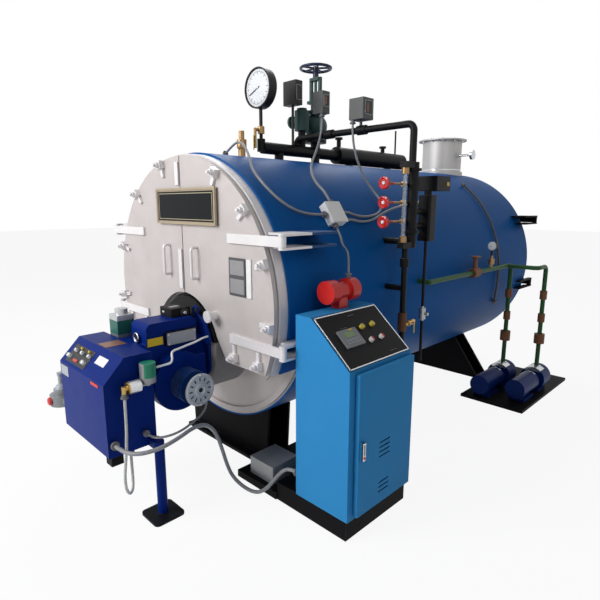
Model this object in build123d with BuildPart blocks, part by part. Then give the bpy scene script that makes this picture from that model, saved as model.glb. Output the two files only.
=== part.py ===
from build123d import *
import math
import os

# Packaged fire-tube steam boiler with its burner, control cabinet and feed pumps.
# Millimetres. X runs to the right seen from the front, Y from the front tube plate to the rear,
# Z upwards. The origin lies on the floor under the boiler's axis, at the front tube plate.

# Shell and tube plates
shell_radius = 800.0
axis_height = 1030.0
shell_length = 2862.0
insulation = 60.0
cladding_sheet = 10.0
rear_course = 432.0
tube_plate_thickness = 25.0
plate_rim_width = 46.0
plate_rim_height = 12.0
furnace_radius = 284.0
furnace_ring_width = 30.0

# Front smokebox and its doors
smokebox_depth = 156.0
smokebox_wall = 12.0
ring_depth = 54.0
ring_radius = 790.0
ring_face = 70.0
foot_drop = 336.0
arch_drop = 320.0
arch_radius = 320.0
shoulder_x = 300.0
corner_x = 384.0
seat_gap = 5.0
door_radius = 780.0
door_thickness = 24.0
door_split = 8.0
door_margin = 8.0

# Door hinges, latch dogs, handles and plates
hinge_x = 838.0
hinge_lead = 21.0
hinge_rises = (345.0, -182.0)
hinge_knuckle = 18.0
strap_height = 50.0
strap_thickness = 12.0
strap_reach = 400.0
knuckle_gap = 0.5
fork_plate = 12.0
fork_eye = 20.0
fork_reach = 330.0
right_dog_angles = (62.6, 39.9, 17.8, -5.5)
left_dog_angles = (75.9, 49.2, 18.2, -7.3)
foot_dog_xs = (471.0, 667.0)
foot_dog_lift = 46.0
dog_block = 44.0
dog_depth = 30.0
dog_stud = 9.0
dog_nut = 16.0
dog_arm = 70.0
dog_arm_width = 22.0
dog_arm_depth = 14.0
handle_x = 145.0
handle_low = 105.0
handle_high = 278.0
handle_rod = 8.0
handle_stand = 40.0
handle_bend = 18.0
name_plate_centre = (57.0, 502.0)
name_plate_size = (595.0, 200.0)
name_plate_frame = 12.0
name_plate_depth = 14.0
name_plate_recess = 4.0
name_plate_stand = 7.0
name_plate_spacer = 15.0
name_plate_spacer_x = -150.0
name_plate_spacer_rise = 60.0
data_plate_centre = (506.0, 150.0)
data_plate_size = (130.0, 195.0)
data_strip_gap = 12.0
data_strip_width = 36.0
plate_sheet = 6.0
seam_bar = (-40.0, -6.0)
seam_bar_rises = ((30.0, 260.0), (620.0, 745.0))
seam_bar_thickness = 9.0
sight_place = (302.0, -82.0)
sight_radius = 24.0
sight_length = 46.0
sight_cap = 33.0
lug_x = 608.0
lug_half = 20.0
lug_drop = 62.0
lug_hole = 10.0
lug_back = 20.0

# Rear smokebox and its door
rear_depth = 60.0
rear_radius = 744.0
rear_wall = 14.0
rear_door_radius = 760.0
rear_door_thickness = 40.0
rear_hinge_x = 800.0
rear_hinge_rises = (375.0, -200.0)

# Saddles and the black base deck
saddle_front_y = 40.0
saddle_rear_back = 532.0
saddle_length = 180.0
saddle_web = 16.0
saddle_base = 20.0
saddle_half_top = 410.0
saddle_half_foot = 640.0
front_foot_half = 390.0
saddle_top_drop = 690.0
base_lead = 60.0
anchor_hole = 13.0
anchor_inset = 45.0
deck_height = 40.0
deck_low = (392.0, -186.0)
deck_high = (720.0, 302.0)
plinth_low = (720.0, -178.0)
plinth_high = (1192.0, 305.0)
plinth_height = 102.0

# Control cabinet
cabinet_low = (870.0, -184.0)
cabinet_high = (1203.0, 296.0)
cabinet_back_height = 1035.0
cabinet_front_height = 827.0
cabinet_flat_x = 966.0
cabinet_sheet = 5.0
cabinet_frame = 22.0
cabinet_door_low = (-147.0, 125.0)
cabinet_door_high = (283.0, 813.0)
cabinet_door_depth = 23.0
cabinet_door_gap = 5.0
cabinet_door_shell = 6.0
cabinet_hinge_radius = 7.0
cabinet_hinge_height = 60.0
cabinet_knuckle = 22.0
cabinet_hinge_levels = (230.0, 700.0)
lock_centre = (-124.0, 453.0)
lock_size = (25.0, 91.0)
lock_depth = 8.0
louvre_y = (14.0, 98.0)
louvre_bands = ((366.0, 462.0), (182.0, 265.0))
louvre_pitch = 24.0
louvre_slot = 8.0
panel_margin = 16.0
panel_sheet = 3.0
screen_size = (96.0, 130.0)
screen_depth = 10.0
button_radius = 13.0
button_height = 16.0
equipment_plate = 4.0
equipment_inset = 40.0
# Siren, transformer and junction box
siren_place = (905.0, 90.0)
siren_rise = 85.0
siren_body = 44.0
siren_bell = 58.0
siren_length = 210.0
siren_bell_length = 62.0
siren_foot = (56.0, 64.0)
transformer_low = (464.0, -150.0)
transformer_high = (656.0, 40.0)
transformer_height = 102.0
junction_angle = 34.0
junction_y = 291.0
junction_size = (117.0, 124.0, 44.0)
junction_lid = 6.0

# Steam header and its fittings, heights above the crown
header_lift = 70.0
header_radius = 38.0
header_front = 374.0
header_step = 1090.0
header_rear_back = 912.0
header_drum = 62.0
header_nozzles = (520.0, 870.0)
drum_nozzles = (1250.0, 1750.0)
nozzle_radius = 30.0
drum_stub_radius = 16.0
drum_stubs = ((1125.0, 200.0), (1680.0, 180.0))
vent_rod_y = 1860.0
vent_rod_radius = 7.0
vent_rod_lift = 320.0
gauge_radius = 121.0
gauge_depth = 60.0
gauge_rim = 9.0
gauge_y = 366.0
gauge_lift = 423.0
gauge_pipe = 10.0
gauge_tee = 26.0
gauge_cock = 22.0
gauge_cock_lift = 175.0
gauge_lever = 112.0
gauge_lever_width = 16.0
crown_valve_y = 208.0
crown_valve_base = 22.0
crown_valve_body = 30.0
crown_valve_cap = 17.0
crown_valve_height = 155.0
valve_y = 870.0
valve_body_lift = 250.0
valve_body_radius = 82.0
valve_neck = 34.0
valve_flange = 78.0
valve_flange_thickness = 16.0
yoke_height = 320.0
yoke_foot = 150.0
yoke_half = 41.0
yoke_width = 20.0
yoke_deck = 34.0
handwheel_rise = 62.0
handwheel_radius = 114.0
handwheel_rim = 10.0
handwheel_hub = 20.0
handwheel_spoke = 7.0
handwheel_spokes = 5
stem_radius = 10.0
safety_y = 734.0
safety_lift = 272.0
safety_radius = 50.0
safety_height = 130.0
safety_outlet = 26.0
safety_reach = 84.0
safety_bonnet = 34.0
level_pipe_lift = 151.0
level_pipe_y = 684.0
level_pipe_radius = 20.0
level_tees = (300.0, 560.0)
level_tee_length = 62.0
level_tee_radius = 28.0
low_switch = (0.0, 648.0, 435.0)
low_switch_size = (126.0, 66.0, 150.0)
mid_switch = (219.0, 690.0, 351.0)
mid_switch_size = (92.0, 72.0, 134.0)
far_switch = (545.0, 690.0, 270.0)
far_switch_size = (112.0, 104.0, 120.0)
switch_tail = 9.0

# Water column, gauge glass and level controller, heights above the axis
column_x = 920.0
column_y = 700.0
column_radius = 30.0
column_low = 268.0
column_high = 745.0
column_flange = 44.0
column_flange_thickness = 14.0
column_flange_rises = (351.0, 697.0)
column_arm = 18.0
column_arm_rise = 300.0
glass_lead = 84.0
glass_radius = 10.0
glass_inset = 6.0
glass_head = 22.0
glass_head_length = 34.0
cock_rises = (625.0, 523.0, 419.0)
cock_x = 896.0
cock_wheel = 33.0
cock_wheel_thickness = 12.0
cock_reach = 236.0
cock_rod = 7.0
controller_x = 930.0
controller_y = 850.0
controller_half = 40.0
controller_low = 300.0
controller_high = 566.0
controller_neck = 22.0
controller_neck_height = 24.0
controller_box = (140.0, 150.0, 84.0)
controller_box_shift = 50.0
controller_arm_inset = 92.0
blowdown_radius = 17.0
blowdown_y = 645.0
blowdown_rise = 34.0
blowdown_low = -321.0
coupling_radius = 26.0
coupling_rises = ((-220.0, 110.0), (160.0, 50.0))
drain_radius = 9.0
drain_low = -450.0
drain_valve = 20.0
drain_valve_length = 70.0
drain_valve_rise = -180.0

# Flue
flue_back = 212.0
flue_radius = 180.0
flue_wall = 5.0
flue_rise = 310.0
flue_clearance = 1.0
flue_flange = 222.0
flue_flange_thickness = 12.0
flue_collar = 196.0
flue_collar_height = 14.0
flue_bolt_circle = 202.0
flue_bolts = 12
flue_bolt_hole = 6.0
thermometer_radius = 42.0
thermometer_stem = 118.0
thermometer_lift = 160.0

# Feed line and pumps
feed_x = 880.0
feed_rise = 24.0
feed_radius = 17.0
feed_front = 1006.0
feed_valve_y = 1641.0
feed_valve = (34.0, 92.0)
feed_bonnet = (16.0, 78.0)
feed_valve_wheel = 36.0
feed_valve_rim = 8.0
feed_gauge_y = 1912.0
feed_gauge_rise = 178.0
feed_gauge_radius = 32.0
feed_gauge_depth = 24.0
feed_bend = 42.0
feed_near_back = 562.0
feed_far_back = 462.0
drop_fittings = (27.0, 70.0)
drop_fitting_drops = (235.0, 425.0)
drop_bulge = 40.0
drop_bulge_drop = 600.0
far_pump_x = 1120.0
pump_z = 128.0
pump_lead = 440.0
motor_length = 300.0
motor_shell = 76.0
pump_lantern = 52.0
lantern_length = 60.0
pump_casing = 96.0
pump_casing_length = 150.0
pump_foot = 120.0
pump_foot_height = 20.0
pump_base_low = (740.0, 1840.0)
pump_base_high = (1232.0, 2840.0)
pump_base_height = 22.0

# Burner, depths below the axis
burner_low = (-192.0, -898.0)
burner_high = (344.0, -650.0)
burner_bottom = 664.0
burner_top = 188.0
burner_brow_y = -790.0
burner_chin = 300.0
burner_foot = (60.0, 60.0, 56.0)
burner_foot_inset = 20.0
burner_axis_x = 20.0
burner_drop = 295.0
drum_radius = 284.0
drum_front = -246.0
burner_flange_half = (235.0, 150.0)
burner_flange_corner = 60.0
burner_flange_thickness = 14.0
burner_throat = 190.0
housing_low_x = -150.0
housing_high_x = 205.0
housing_bottom = 470.0
housing_top = 200.0
tower_low_x = 40.0
tower_high_x = 200.0
tower_front = -600.0
tower_back = -300.0
tower_top = 92.0
tower_round = 34.0
sight_port = (114.0, 172.0)
sight_port_radius = 28.0
sight_port_rim = 10.0
scroll_x = (205.0, 272.0)
scroll_centre = (-450.0, 415.0)
scroll_radius = 158.0
scroll_outlet = (-350.0, -296.0, 290.0)
motor_end = 370.0
fan_motor_centre = (-434.0, 425.0)
fan_motor_radius = 88.0
fan_motor_ribs = 6
fan_motor_rib = 5.0
fan_motor_rib_depth = 6.0
terminal_box = (46.0, 44.0, 65.0)
terminal_box_place = (-400.0, 455.0)
actuator_low = (30.0, -424.0)
actuator_high = (155.0, -304.0)
actuator_top = 44.0
cover_low = (-498.0, 222.0)
cover_high = (-316.0, 150.0)
cover_depth = 20.0
gas_governor = (-520.0, -800.0, 640.0)
governor_radius = 70.0
governor_height = 64.0
governor_cap = 46.0
governor_cap_height = 34.0
gas_pipe = 24.0
gas_valve_low = (-128.0, -644.0)
gas_valve_high = (-30.0, -548.0)
gas_valve_top = 76.0
gas_valve_cap = 34.0
gas_valve_cap_height = 30.0
solenoid_place = (390.0, -700.0, 270.0)
solenoid_radius = 38.0
solenoid_height = 96.0
regulator_place = (390.0, -775.0, 322.0)
regulator_radius = 30.0
regulator_length = 62.0
line_pipe = 12.0
line_front = -822.0
line_drop = 345.0

# Support post
post_place = (402.0, -670.0)
post_radius = 25.0
post_plate = 82.0
post_round = 24.0
post_plate_thickness = 12.0
post_arm = 32.0
post_arm_half = 28.0

# Conduits
conduit_radius = 7.0
thin_conduit = 6.0
heavy_conduit = 10.0
hose_radius = 8.0
conduit_stand = 18.0
bend_share = 0.45
gland_radius = 13.0
gland_length = 22.0
gland_nut = 18.0
# Routes of the conduits and hoses: (along, degrees, stand) over the cladding, or (x, y, z) from a
# gland's mouth, and the run straight out of each gland
crown_run = ((150.0, 96.0, 12.0), (146.0, 91.5, 42.0), (120.0, 85.0, 66.0), (60.0, 76.0, 50.0),
             (-10.0, 66.0, 18.0), (-72.0, 58.0, 0), (-88.0, 48.0, 0), (-50.0, 40.5, 0),
             (20.0, 36.2, 0), (90.0, 34.6, 2.0))
crown_lead = 72.0
mid_gland = (24.0, -18.0)
valve_drop = ((0, 0, -92.0), (16.0, -42.0, -182.0), (42.0, -112.0, -272.0))
valve_run = ((450.0, 64.5, 16.0), (360.0, 57.0, 4.0), (322.0, 49.5, 0))
valve_gland = 22.0
valve_lead = 86.0
far_gland = (-34.0, -36.0)
switch_drop = ((0, 0, -95.0), (6.0, 24.0, -200.0), (20.0, 78.0, -310.0), (48.0, 140.0, -402.0))
switch_run = ((815.0, 41.5, 3.0), (772.0, 36.5, 0), (690.0, 33.6, 0), (590.0, 32.6, 0), (490.0, 33.2, 0))
switch_gland = 12.0
switch_lead = 76.0
level_gland_rise = 512.0
level_drop = ((-90.0, 0, 0), (-152.0, -12.0, -12.0), (-192.0, -60.0, -34.0))
level_run = ((712.0, 33.0, 6.0), (620.0, 31.0, 0), (540.0, 30.4, 0), (480.0, 30.8, 0))
level_gland = -36.0
level_lead = 75.0
siren_exit = -26.0
siren_gland = 68.0
siren_drop = ((-127.0, 100.0, 152.0), (-79.0, 72.0, 134.0), (-29.0, 28.0, 118.0), (0, 0, 72.0))
siren_lead = 72.0
box_gland_rise = 74.0
burner_gland = (-870.0, -8.0)
burner_run = ((102.0, -870.0, -8.0), (186.0, -835.0, 0), (230.0, -750.0, 16.0), (222.0, -650.0, 30.0),
              (187.0, -550.0, 36.0), (153.0, -452.0, 8.0), (131.0, -382.0, -74.0),
              (124.0, -344.0, -180.0), (124.0, -316.0, -282.0))
burner_floor_run = ((136.0, -290.0, 38.0), (196.0, -259.0, -16.0), (280.0, -242.0, -20.0),
                    (346.0, -228.0, 26.0), (394.0, -206.0, 100.0), (426.0, -176.0, 150.0),
                    (462.0, -160.0, 164.0))
cabinet_gland = (-160.0, 164.0)
motor_gland = -712.0
motor_run = ((76.0, -712.0, 0), (118.0, -684.0, 4.0), (134.0, -630.0, 7.0), (122.0, -560.0, 9.0),
             (86.0, -485.0, 12.0))
motor_rise = ((5.0, -39.0, -121.0), (0, 0, -81.0))
flue_run = ((-440.0, 55.0), (-440.0, 48.0), (-443.0, 38.0), (-448.0, 28.0), (-452.0, 18.0),
            (-444.0, 8.0), (-438.0, -1.0), (-420.0, -9.0), (-386.0, -16.0), (-350.0, -21.0))
gas_run = ((0, 0, -110.0), (2.0, -4.0, -210.0), (6.0, -16.0, -310.0), (12.0, -32.0, -400.0),
           (8.0, -28.0, -470.0), (-16.0, 0, -522.0), (-58.0, 36.0, -524.0), (-84.0, 50.0, -476.0),
           (-86.0, 50.0, -414.0))
gas_end = (-86.0, 50.0)
gland_nut_length = 8.0

# Running values
overrun = 50.0
fine = 0.3
kiss = 1.0

FLAT = (Align.CENTER, Align.CENTER, Align.MIN)
os.makedirs("parts", exist_ok=True)


def keep(piece, name):
    """Label a finished piece and write it out."""
    piece.part.label = name
    export_step(piece.part, "parts/" + name + ".step")


def bar(start, direction, radius, length, mode=Mode.ADD):
    """Round bar from a start point along a direction."""
    with Locations(Plane(origin=start, z_dir=direction)):
        Cylinder(radius, length, align=FLAT, mode=mode)


def block(low, high, mode=Mode.ADD):
    """Squared block between two corners."""
    with Locations(low):
        Box(high[0] - low[0], high[1] - low[1], high[2] - low[2],
            align=(Align.MIN, Align.MIN, Align.MIN), mode=mode)


def front_view(y):
    """Plane looking along the boiler, at a distance from the front tube plate."""
    return Plane.XZ.offset(-y)


def on_shell(y, degrees, stand):
    """Point beside the shell at a distance along it, an angle from the right and a stand-off."""
    out = shell_radius + stand
    return (out * math.cos(math.radians(degrees)), y,
            axis_height + out * math.sin(math.radians(degrees)))


def pipe(route, radius, bend):
    """Pipe along straight runs joined by bends of one radius."""
    with BuildPart() as run:
        with BuildLine():
            path = FilletPolyline(*route, radius=bend)
        with BuildSketch(Plane(origin=path @ 0, z_dir=path % 0)):
            Circle(radius)
        sweep(path=path)
    return run.part


def smokebox_half(radius, foot, arch, corner, split):
    """Right half of the smokebox front: round rim, level foot and the arch over the burner."""
    foot_z = axis_height - foot
    arch_z = axis_height - arch_drop
    shoulder = shoulder_x * arch / arch_radius
    shoulder_z = arch_z + math.sqrt(arch**2 - shoulder**2)
    rim_turn = math.radians(30)
    arch_turn = math.radians(60)
    with BuildSketch() as half:
        with BuildLine():
            ThreePointArc((split, axis_height + math.sqrt(radius**2 - split**2)),
                          (radius * math.cos(rim_turn), axis_height + radius * math.sin(rim_turn)),
                          (math.sqrt(radius**2 - foot**2), foot_z))
            Line((math.sqrt(radius**2 - foot**2), foot_z), (corner, foot_z))
            Line((corner, foot_z), (shoulder, shoulder_z))
            ThreePointArc((shoulder, shoulder_z),
                          (arch * math.cos(arch_turn), arch_z + arch * math.sin(arch_turn)),
                          (split, arch_z + math.sqrt(arch**2 - split**2)))
            Line((split, arch_z + math.sqrt(arch**2 - split**2)),
                 (split, axis_height + math.sqrt(radius**2 - split**2)))
        make_face()
    return half.sketch


def smokebox_band(inner_wall, radius):
    """Closed band that follows the smokebox front, both halves."""
    outer = smokebox_half(radius, foot_drop, arch_radius, corner_x, 0)
    inner = smokebox_half(radius - inner_wall, foot_drop - inner_wall, arch_radius + inner_wall,
                          corner_x + inner_wall, 0)
    with BuildSketch() as band:
        add(outer)
        add(inner, mode=Mode.SUBTRACT)
        mirror(about=Plane.YZ)
    return band.sketch


foot_z = axis_height - foot_drop
crown = axis_height + shell_radius
burner_z = axis_height - burner_drop
flue_y = shell_length - flue_back
ring_front = -smokebox_depth - ring_depth
door_back = ring_front - seat_gap
door_front = door_back - door_thickness
hinge_y = door_back - hinge_lead

# Shell cladding in two courses, sheet over mineral wool; the rear one carries the flue
with BuildPart() as shell_cladding:
    with BuildSketch(front_view(0)):
        with Locations((0, axis_height)):
            Circle(shell_radius)
            Circle(shell_radius - insulation, mode=Mode.SUBTRACT)
    extrude(amount=rear_course - shell_length)
    with BuildSketch(front_view(0)):
        with Locations((0, axis_height)):
            Circle(shell_radius - cladding_sheet)
    extrude(amount=-tube_plate_thickness, mode=Mode.SUBTRACT)
keep(shell_cladding, "shell_cladding")

with BuildPart() as rear_cladding:
    with BuildSketch(front_view(shell_length - rear_course)):
        with Locations((0, axis_height)):
            Circle(shell_radius)
            Circle(shell_radius - insulation, mode=Mode.SUBTRACT)
    extrude(amount=-rear_course)
    with BuildSketch(front_view(shell_length - tube_plate_thickness)):
        with Locations((0, axis_height)):
            Circle(shell_radius - cladding_sheet)
    extrude(amount=-tube_plate_thickness, mode=Mode.SUBTRACT)
    with Locations((0, flue_y, axis_height)):
        Cylinder(flue_radius + flue_clearance, shell_radius + overrun, align=FLAT, mode=Mode.SUBTRACT)
keep(rear_cladding, "rear_cladding")

# The cladding sheet carried forward over the smokebox
with BuildPart() as smokebox_cladding:
    with BuildSketch(front_view(0)):
        with Locations((0, axis_height)):
            Circle(shell_radius)
            Circle(shell_radius - cladding_sheet, mode=Mode.SUBTRACT)
        with Locations((0, foot_z)):
            Rectangle(shell_radius + shell_radius, shell_radius, align=(Align.CENTER, Align.MAX),
                      mode=Mode.SUBTRACT)
    extrude(amount=smokebox_depth)
keep(smokebox_cladding, "smokebox_cladding")

# Front tube plate with its raised rim and the ring round the furnace mouth
with BuildPart() as front_plate:
    with BuildSketch(front_view(tube_plate_thickness)):
        with Locations((0, axis_height)):
            Circle(shell_radius - cladding_sheet)
    extrude(amount=tube_plate_thickness)
    with BuildSketch(front_view(0)):
        with Locations((0, axis_height)):
            Circle(shell_radius - cladding_sheet - cladding_sheet)
            Circle(shell_radius - cladding_sheet - plate_rim_width, mode=Mode.SUBTRACT)
        with Locations((0, foot_z - smokebox_wall)):
            Rectangle(shell_radius + shell_radius, shell_radius + shell_radius,
                      align=(Align.CENTER, Align.MIN), mode=Mode.SUBTRACT)
    extrude(amount=plate_rim_height)
    with BuildSketch(front_view(0)):
        with Locations((burner_axis_x, burner_z)):
            Circle(furnace_radius)
            Circle(furnace_radius - furnace_ring_width, mode=Mode.SUBTRACT)
    extrude(amount=plate_rim_height)
    with BuildSketch(front_view(0)):
        with Locations((burner_axis_x, burner_z)):
            Circle(burner_throat)
    extrude(amount=-tube_plate_thickness, mode=Mode.SUBTRACT)
keep(front_plate, "front_plate")

# Front smokebox: bent casing and the flat ring that the doors close on
with BuildPart() as smokebox_casing:
    with BuildSketch(front_view(0)):
        add(smokebox_band(smokebox_wall, shell_radius - cladding_sheet))
    extrude(amount=smokebox_depth)
    for side in (-1, 1):
        with BuildSketch(front_view(-smokebox_depth + lug_back)):
            with BuildLine():
                Polyline((side * (lug_x - lug_half), foot_z), (side * (lug_x + lug_half), foot_z),
                         (side * (lug_x + lug_half), foot_z - lug_drop + lug_half),
                         (side * lug_x, foot_z - lug_drop),
                         (side * (lug_x - lug_half), foot_z - lug_drop + lug_half), close=True)
            make_face()
            with Locations((side * lug_x, foot_z - lug_drop + lug_half + lug_hole)):
                Circle(lug_hole, mode=Mode.SUBTRACT)
        extrude(amount=smokebox_wall)
keep(smokebox_casing, "smokebox_casing")

with BuildPart() as smokebox_ring:
    with BuildSketch(front_view(-smokebox_depth)):
        add(smokebox_band(ring_face, ring_radius))
    extrude(amount=ring_depth)
keep(smokebox_ring, "smokebox_ring")


def door_leaf():
    """Right door leaf, a thick plate with the arch cut over the burner."""
    leaf = smokebox_half(door_radius, foot_drop - door_margin, arch_radius + door_margin,
                         corner_x + door_margin, door_split / 2)
    with BuildPart() as plate:
        with BuildSketch(front_view(door_back)):
            add(leaf)
        extrude(amount=door_thickness)
    return plate.part


def leaf_hinges():
    """Straps and knuckles of the right leaf, one pair."""
    with BuildPart() as straps:
        for rise in hinge_rises:
            level = axis_height + rise
            block((hinge_x - strap_reach, door_front - strap_thickness, level - strap_height / 2),
                  (hinge_x, door_front, level + strap_height / 2))
            bar((hinge_x, hinge_y, level - strap_height / 2), (0, 0, 1), hinge_knuckle, strap_height)
    return straps.part


def hinge_forks():
    """Fork plates welded along the shell for the right leaf, two to a hinge."""
    with BuildPart() as forks:
        for rise in hinge_rises:
            level = axis_height + rise
            for side in (-1, 1):
                middle = level + side * (strap_height / 2 + knuckle_gap + fork_plate / 2)
                low = middle - fork_plate / 2
                block((shell_radius - shell_radius / 2, ring_front + seat_gap, low),
                      (hinge_x + fork_eye, ring_front + fork_reach, low + fork_plate))
                block((hinge_x - fork_eye, hinge_y, low),
                      (hinge_x + fork_eye, ring_front + seat_gap, low + fork_plate))
                bar((hinge_x, hinge_y, low), (0, 0, 1), fork_eye, fork_plate)
        bar((0, ring_front - overrun, axis_height), (0, 1, 0), shell_radius + fine,
            fork_reach + overrun + overrun, mode=Mode.SUBTRACT)
    return forks.part


def leaf_dogs(angles):
    """Latch dogs of one leaf, round its rim and along its foot: block, arm, stud and nut."""
    with BuildPart() as dogs:
        reach = door_radius - dog_block / 2
        places = [(reach * math.cos(math.radians(angle)),
                   axis_height + reach * math.sin(math.radians(angle)), angle) for angle in angles]
        for dog_x in foot_dog_xs:
            places.append((dog_x, foot_z + door_margin + foot_dog_lift, -90))
        for place in places:
            centre = (place[0], place[1])
            inward = math.radians(place[2])
            with BuildSketch(front_view(door_front)):
                with Locations(Location(centre, place[2])):
                    Rectangle(dog_block, dog_block)
            extrude(amount=dog_depth)
            with BuildSketch(front_view(door_front)):
                with Locations(Location((centre[0] - dog_arm / 2 * math.cos(inward),
                                         centre[1] - dog_arm / 2 * math.sin(inward)), place[2])):
                    Rectangle(dog_arm, dog_arm_width)
            extrude(amount=dog_arm_depth)
            bar((centre[0], door_front - dog_depth, centre[1]), (0, -1, 0), dog_stud, dog_depth)
            bar((centre[0], door_front - dog_depth, centre[1]), (0, -1, 0), dog_nut, dog_nut)
    return dogs.part


def leaf_handle():
    """Bent pull handle of the right leaf."""
    handle_foot = axis_height + handle_low
    handle_top = axis_height + handle_high
    return pipe([(handle_x, door_front, handle_foot), (handle_x, door_front - handle_stand, handle_foot),
                 (handle_x, door_front - handle_stand, handle_top), (handle_x, door_front, handle_top)],
                handle_rod, handle_bend)


right_leaf = door_leaf()
right_hinges = leaf_hinges()
right_dogs = leaf_dogs(right_dog_angles)
left_dogs = leaf_dogs(left_dog_angles)
right_handle = leaf_handle()
right_forks = hinge_forks()

with BuildPart() as door_leaf_right:
    add(right_leaf)
keep(door_leaf_right, "door_leaf_right")

with BuildPart() as door_leaf_left:
    add(right_leaf)
    mirror(about=Plane.YZ, mode=Mode.REPLACE)
keep(door_leaf_left, "door_leaf_left")

with BuildPart() as door_fittings_right:
    add(right_hinges)
    add(right_dogs)
    add(right_handle)
    bar((sight_place[0], door_front, axis_height + sight_place[1]), (0, -1, 0), sight_radius, sight_length)
    bar((sight_place[0], door_front - sight_length, axis_height + sight_place[1]), (0, -1, 0), sight_cap,
        dog_arm_depth)
keep(door_fittings_right, "door_fittings_right")

with BuildPart() as door_fittings_left:
    add(right_hinges)
    add(left_dogs)
    add(right_handle)
    mirror(about=Plane.YZ, mode=Mode.REPLACE)
    for rises in seam_bar_rises:
        block((seam_bar[0], door_front - seam_bar_thickness, axis_height + rises[0]),
              (seam_bar[1], door_front, axis_height + rises[1]))
keep(door_fittings_left, "door_fittings_left")

with BuildPart() as hinge_forks_front:
    add(right_forks)
    mirror(about=Plane.YZ)
keep(hinge_forks_front, "hinge_forks_front")

# Bare plates on the doors; the wide one stands off on spacers and reaches over the split
plate_centre = (name_plate_centre[0], axis_height + name_plate_centre[1])
with BuildPart() as name_plate:
    with BuildSketch(front_view(door_front - name_plate_stand)):
        with Locations(plate_centre):
            Rectangle(*name_plate_size)
    extrude(amount=name_plate_depth)
    with BuildSketch(front_view(door_front - name_plate_stand - name_plate_depth)):
        with Locations(plate_centre):
            Rectangle(name_plate_size[0] - name_plate_frame * 2, name_plate_size[1] - name_plate_frame * 2)
    extrude(amount=-name_plate_recess, mode=Mode.SUBTRACT)
    for side in (-1, 1):
        bar((name_plate_spacer_x, door_front, plate_centre[1] + side * name_plate_spacer_rise),
            (0, -1, 0), name_plate_spacer, name_plate_stand)
keep(name_plate, "name_plate")

with BuildPart() as data_plate:
    with BuildSketch(front_view(door_front)):
        with Locations((data_plate_centre[0], axis_height + data_plate_centre[1])):
            Rectangle(*data_plate_size)
        with Locations((data_plate_centre[0] + data_plate_size[0] / 2 + data_strip_gap
                        + data_strip_width / 2, axis_height + data_plate_centre[1])):
            Rectangle(data_strip_width, data_plate_size[1])
    extrude(amount=plate_sheet)
keep(data_plate, "data_plate")

# Rear tube plate with the rear smokebox, and the round door on side hinges
with BuildPart() as rear_smokebox:
    with BuildSketch(front_view(shell_length)):
        with Locations((0, axis_height)):
            Circle(shell_radius - cladding_sheet)
    extrude(amount=tube_plate_thickness)
    with BuildSketch(front_view(shell_length)):
        with Locations((0, axis_height)):
            Circle(rear_radius)
            Circle(rear_radius - rear_wall, mode=Mode.SUBTRACT)
    extrude(amount=-rear_depth)
keep(rear_smokebox, "rear_smokebox")

rear_door_y = shell_length + rear_depth + seat_gap
rear_hinge_y = rear_door_y + rear_door_thickness - hinge_lead
with BuildPart() as rear_door:
    with BuildSketch(front_view(rear_door_y)):
        with Locations((0, axis_height)):
            Circle(rear_door_radius)
    extrude(amount=-rear_door_thickness)
    fillet(rear_door.edges().sort_by(Axis.Y)[-1:], radius=rear_door_thickness / 2)
    for rise in rear_hinge_rises:
        level = axis_height + rise
        block((rear_hinge_x - strap_reach, rear_door_y + rear_door_thickness, level - strap_height / 2),
              (rear_hinge_x, rear_door_y + rear_door_thickness + strap_thickness,
               level + strap_height / 2))
        bar((rear_hinge_x, rear_door_y + rear_door_thickness, level - strap_height / 2), (0, 0, 1),
            hinge_knuckle, strap_height)
keep(rear_door, "rear_door")

with BuildPart() as rear_hinge_forks:
    for rise in rear_hinge_rises:
        level = axis_height + rise
        for side in (-1, 1):
            low = level + side * (strap_height / 2 + knuckle_gap + fork_plate / 2) - fork_plate / 2
            block((shell_radius - shell_radius / 2, shell_length - fork_reach / 2, low),
                  (rear_hinge_x + fork_eye, shell_length + rear_depth, low + fork_plate))
            block((rear_hinge_x - fork_eye, shell_length + rear_depth, low),
                  (rear_hinge_x + fork_eye, rear_door_y + rear_door_thickness, low + fork_plate))
            bar((rear_hinge_x, rear_door_y + rear_door_thickness, low), (0, 0, 1), fork_eye, fork_plate)
    bar((0, shell_length - fork_reach, axis_height), (0, 1, 0), shell_radius + fine,
        fork_reach + rear_depth + overrun, mode=Mode.SUBTRACT)
keep(rear_hinge_forks, "rear_hinge_forks")


def saddle(start, foot_half):
    """Saddle under the shell: base plate, two splayed webs fitted to the shell."""
    base_front = start - base_lead if start < shell_length / 2 else start
    with BuildPart() as body:
        block((-foot_half, base_front, 0), (foot_half, start + saddle_length, saddle_base))
        for web in (start, start + saddle_length - saddle_web):
            with BuildSketch(front_view(web)):
                with BuildLine():
                    Polyline((-foot_half, saddle_base), (foot_half, saddle_base),
                             (saddle_half_top, axis_height - saddle_top_drop),
                             (-saddle_half_top, axis_height - saddle_top_drop), close=True)
                make_face()
            extrude(amount=-saddle_web)
        block((-saddle_web / 2, start, saddle_base),
              (saddle_web / 2, start + saddle_length, axis_height - shell_radius + overrun))
        bar((0, start - overrun, axis_height), (0, 1, 0), shell_radius + fine,
            saddle_length + overrun + overrun, mode=Mode.SUBTRACT)
        for corner_share in (-1, 1):
            for hole_y in (base_front + anchor_inset, start + saddle_length - anchor_inset):
                with Locations((corner_share * (foot_half - anchor_inset), hole_y, 0)):
                    Cylinder(anchor_hole, saddle_base, align=FLAT, mode=Mode.SUBTRACT)
    return body.part


front_saddle = saddle(saddle_front_y, front_foot_half)
rear_saddle = saddle(shell_length - saddle_rear_back, saddle_half_foot)
with BuildPart() as saddles:
    add(front_saddle)
    add(rear_saddle)
keep(saddles, "saddles")

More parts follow.
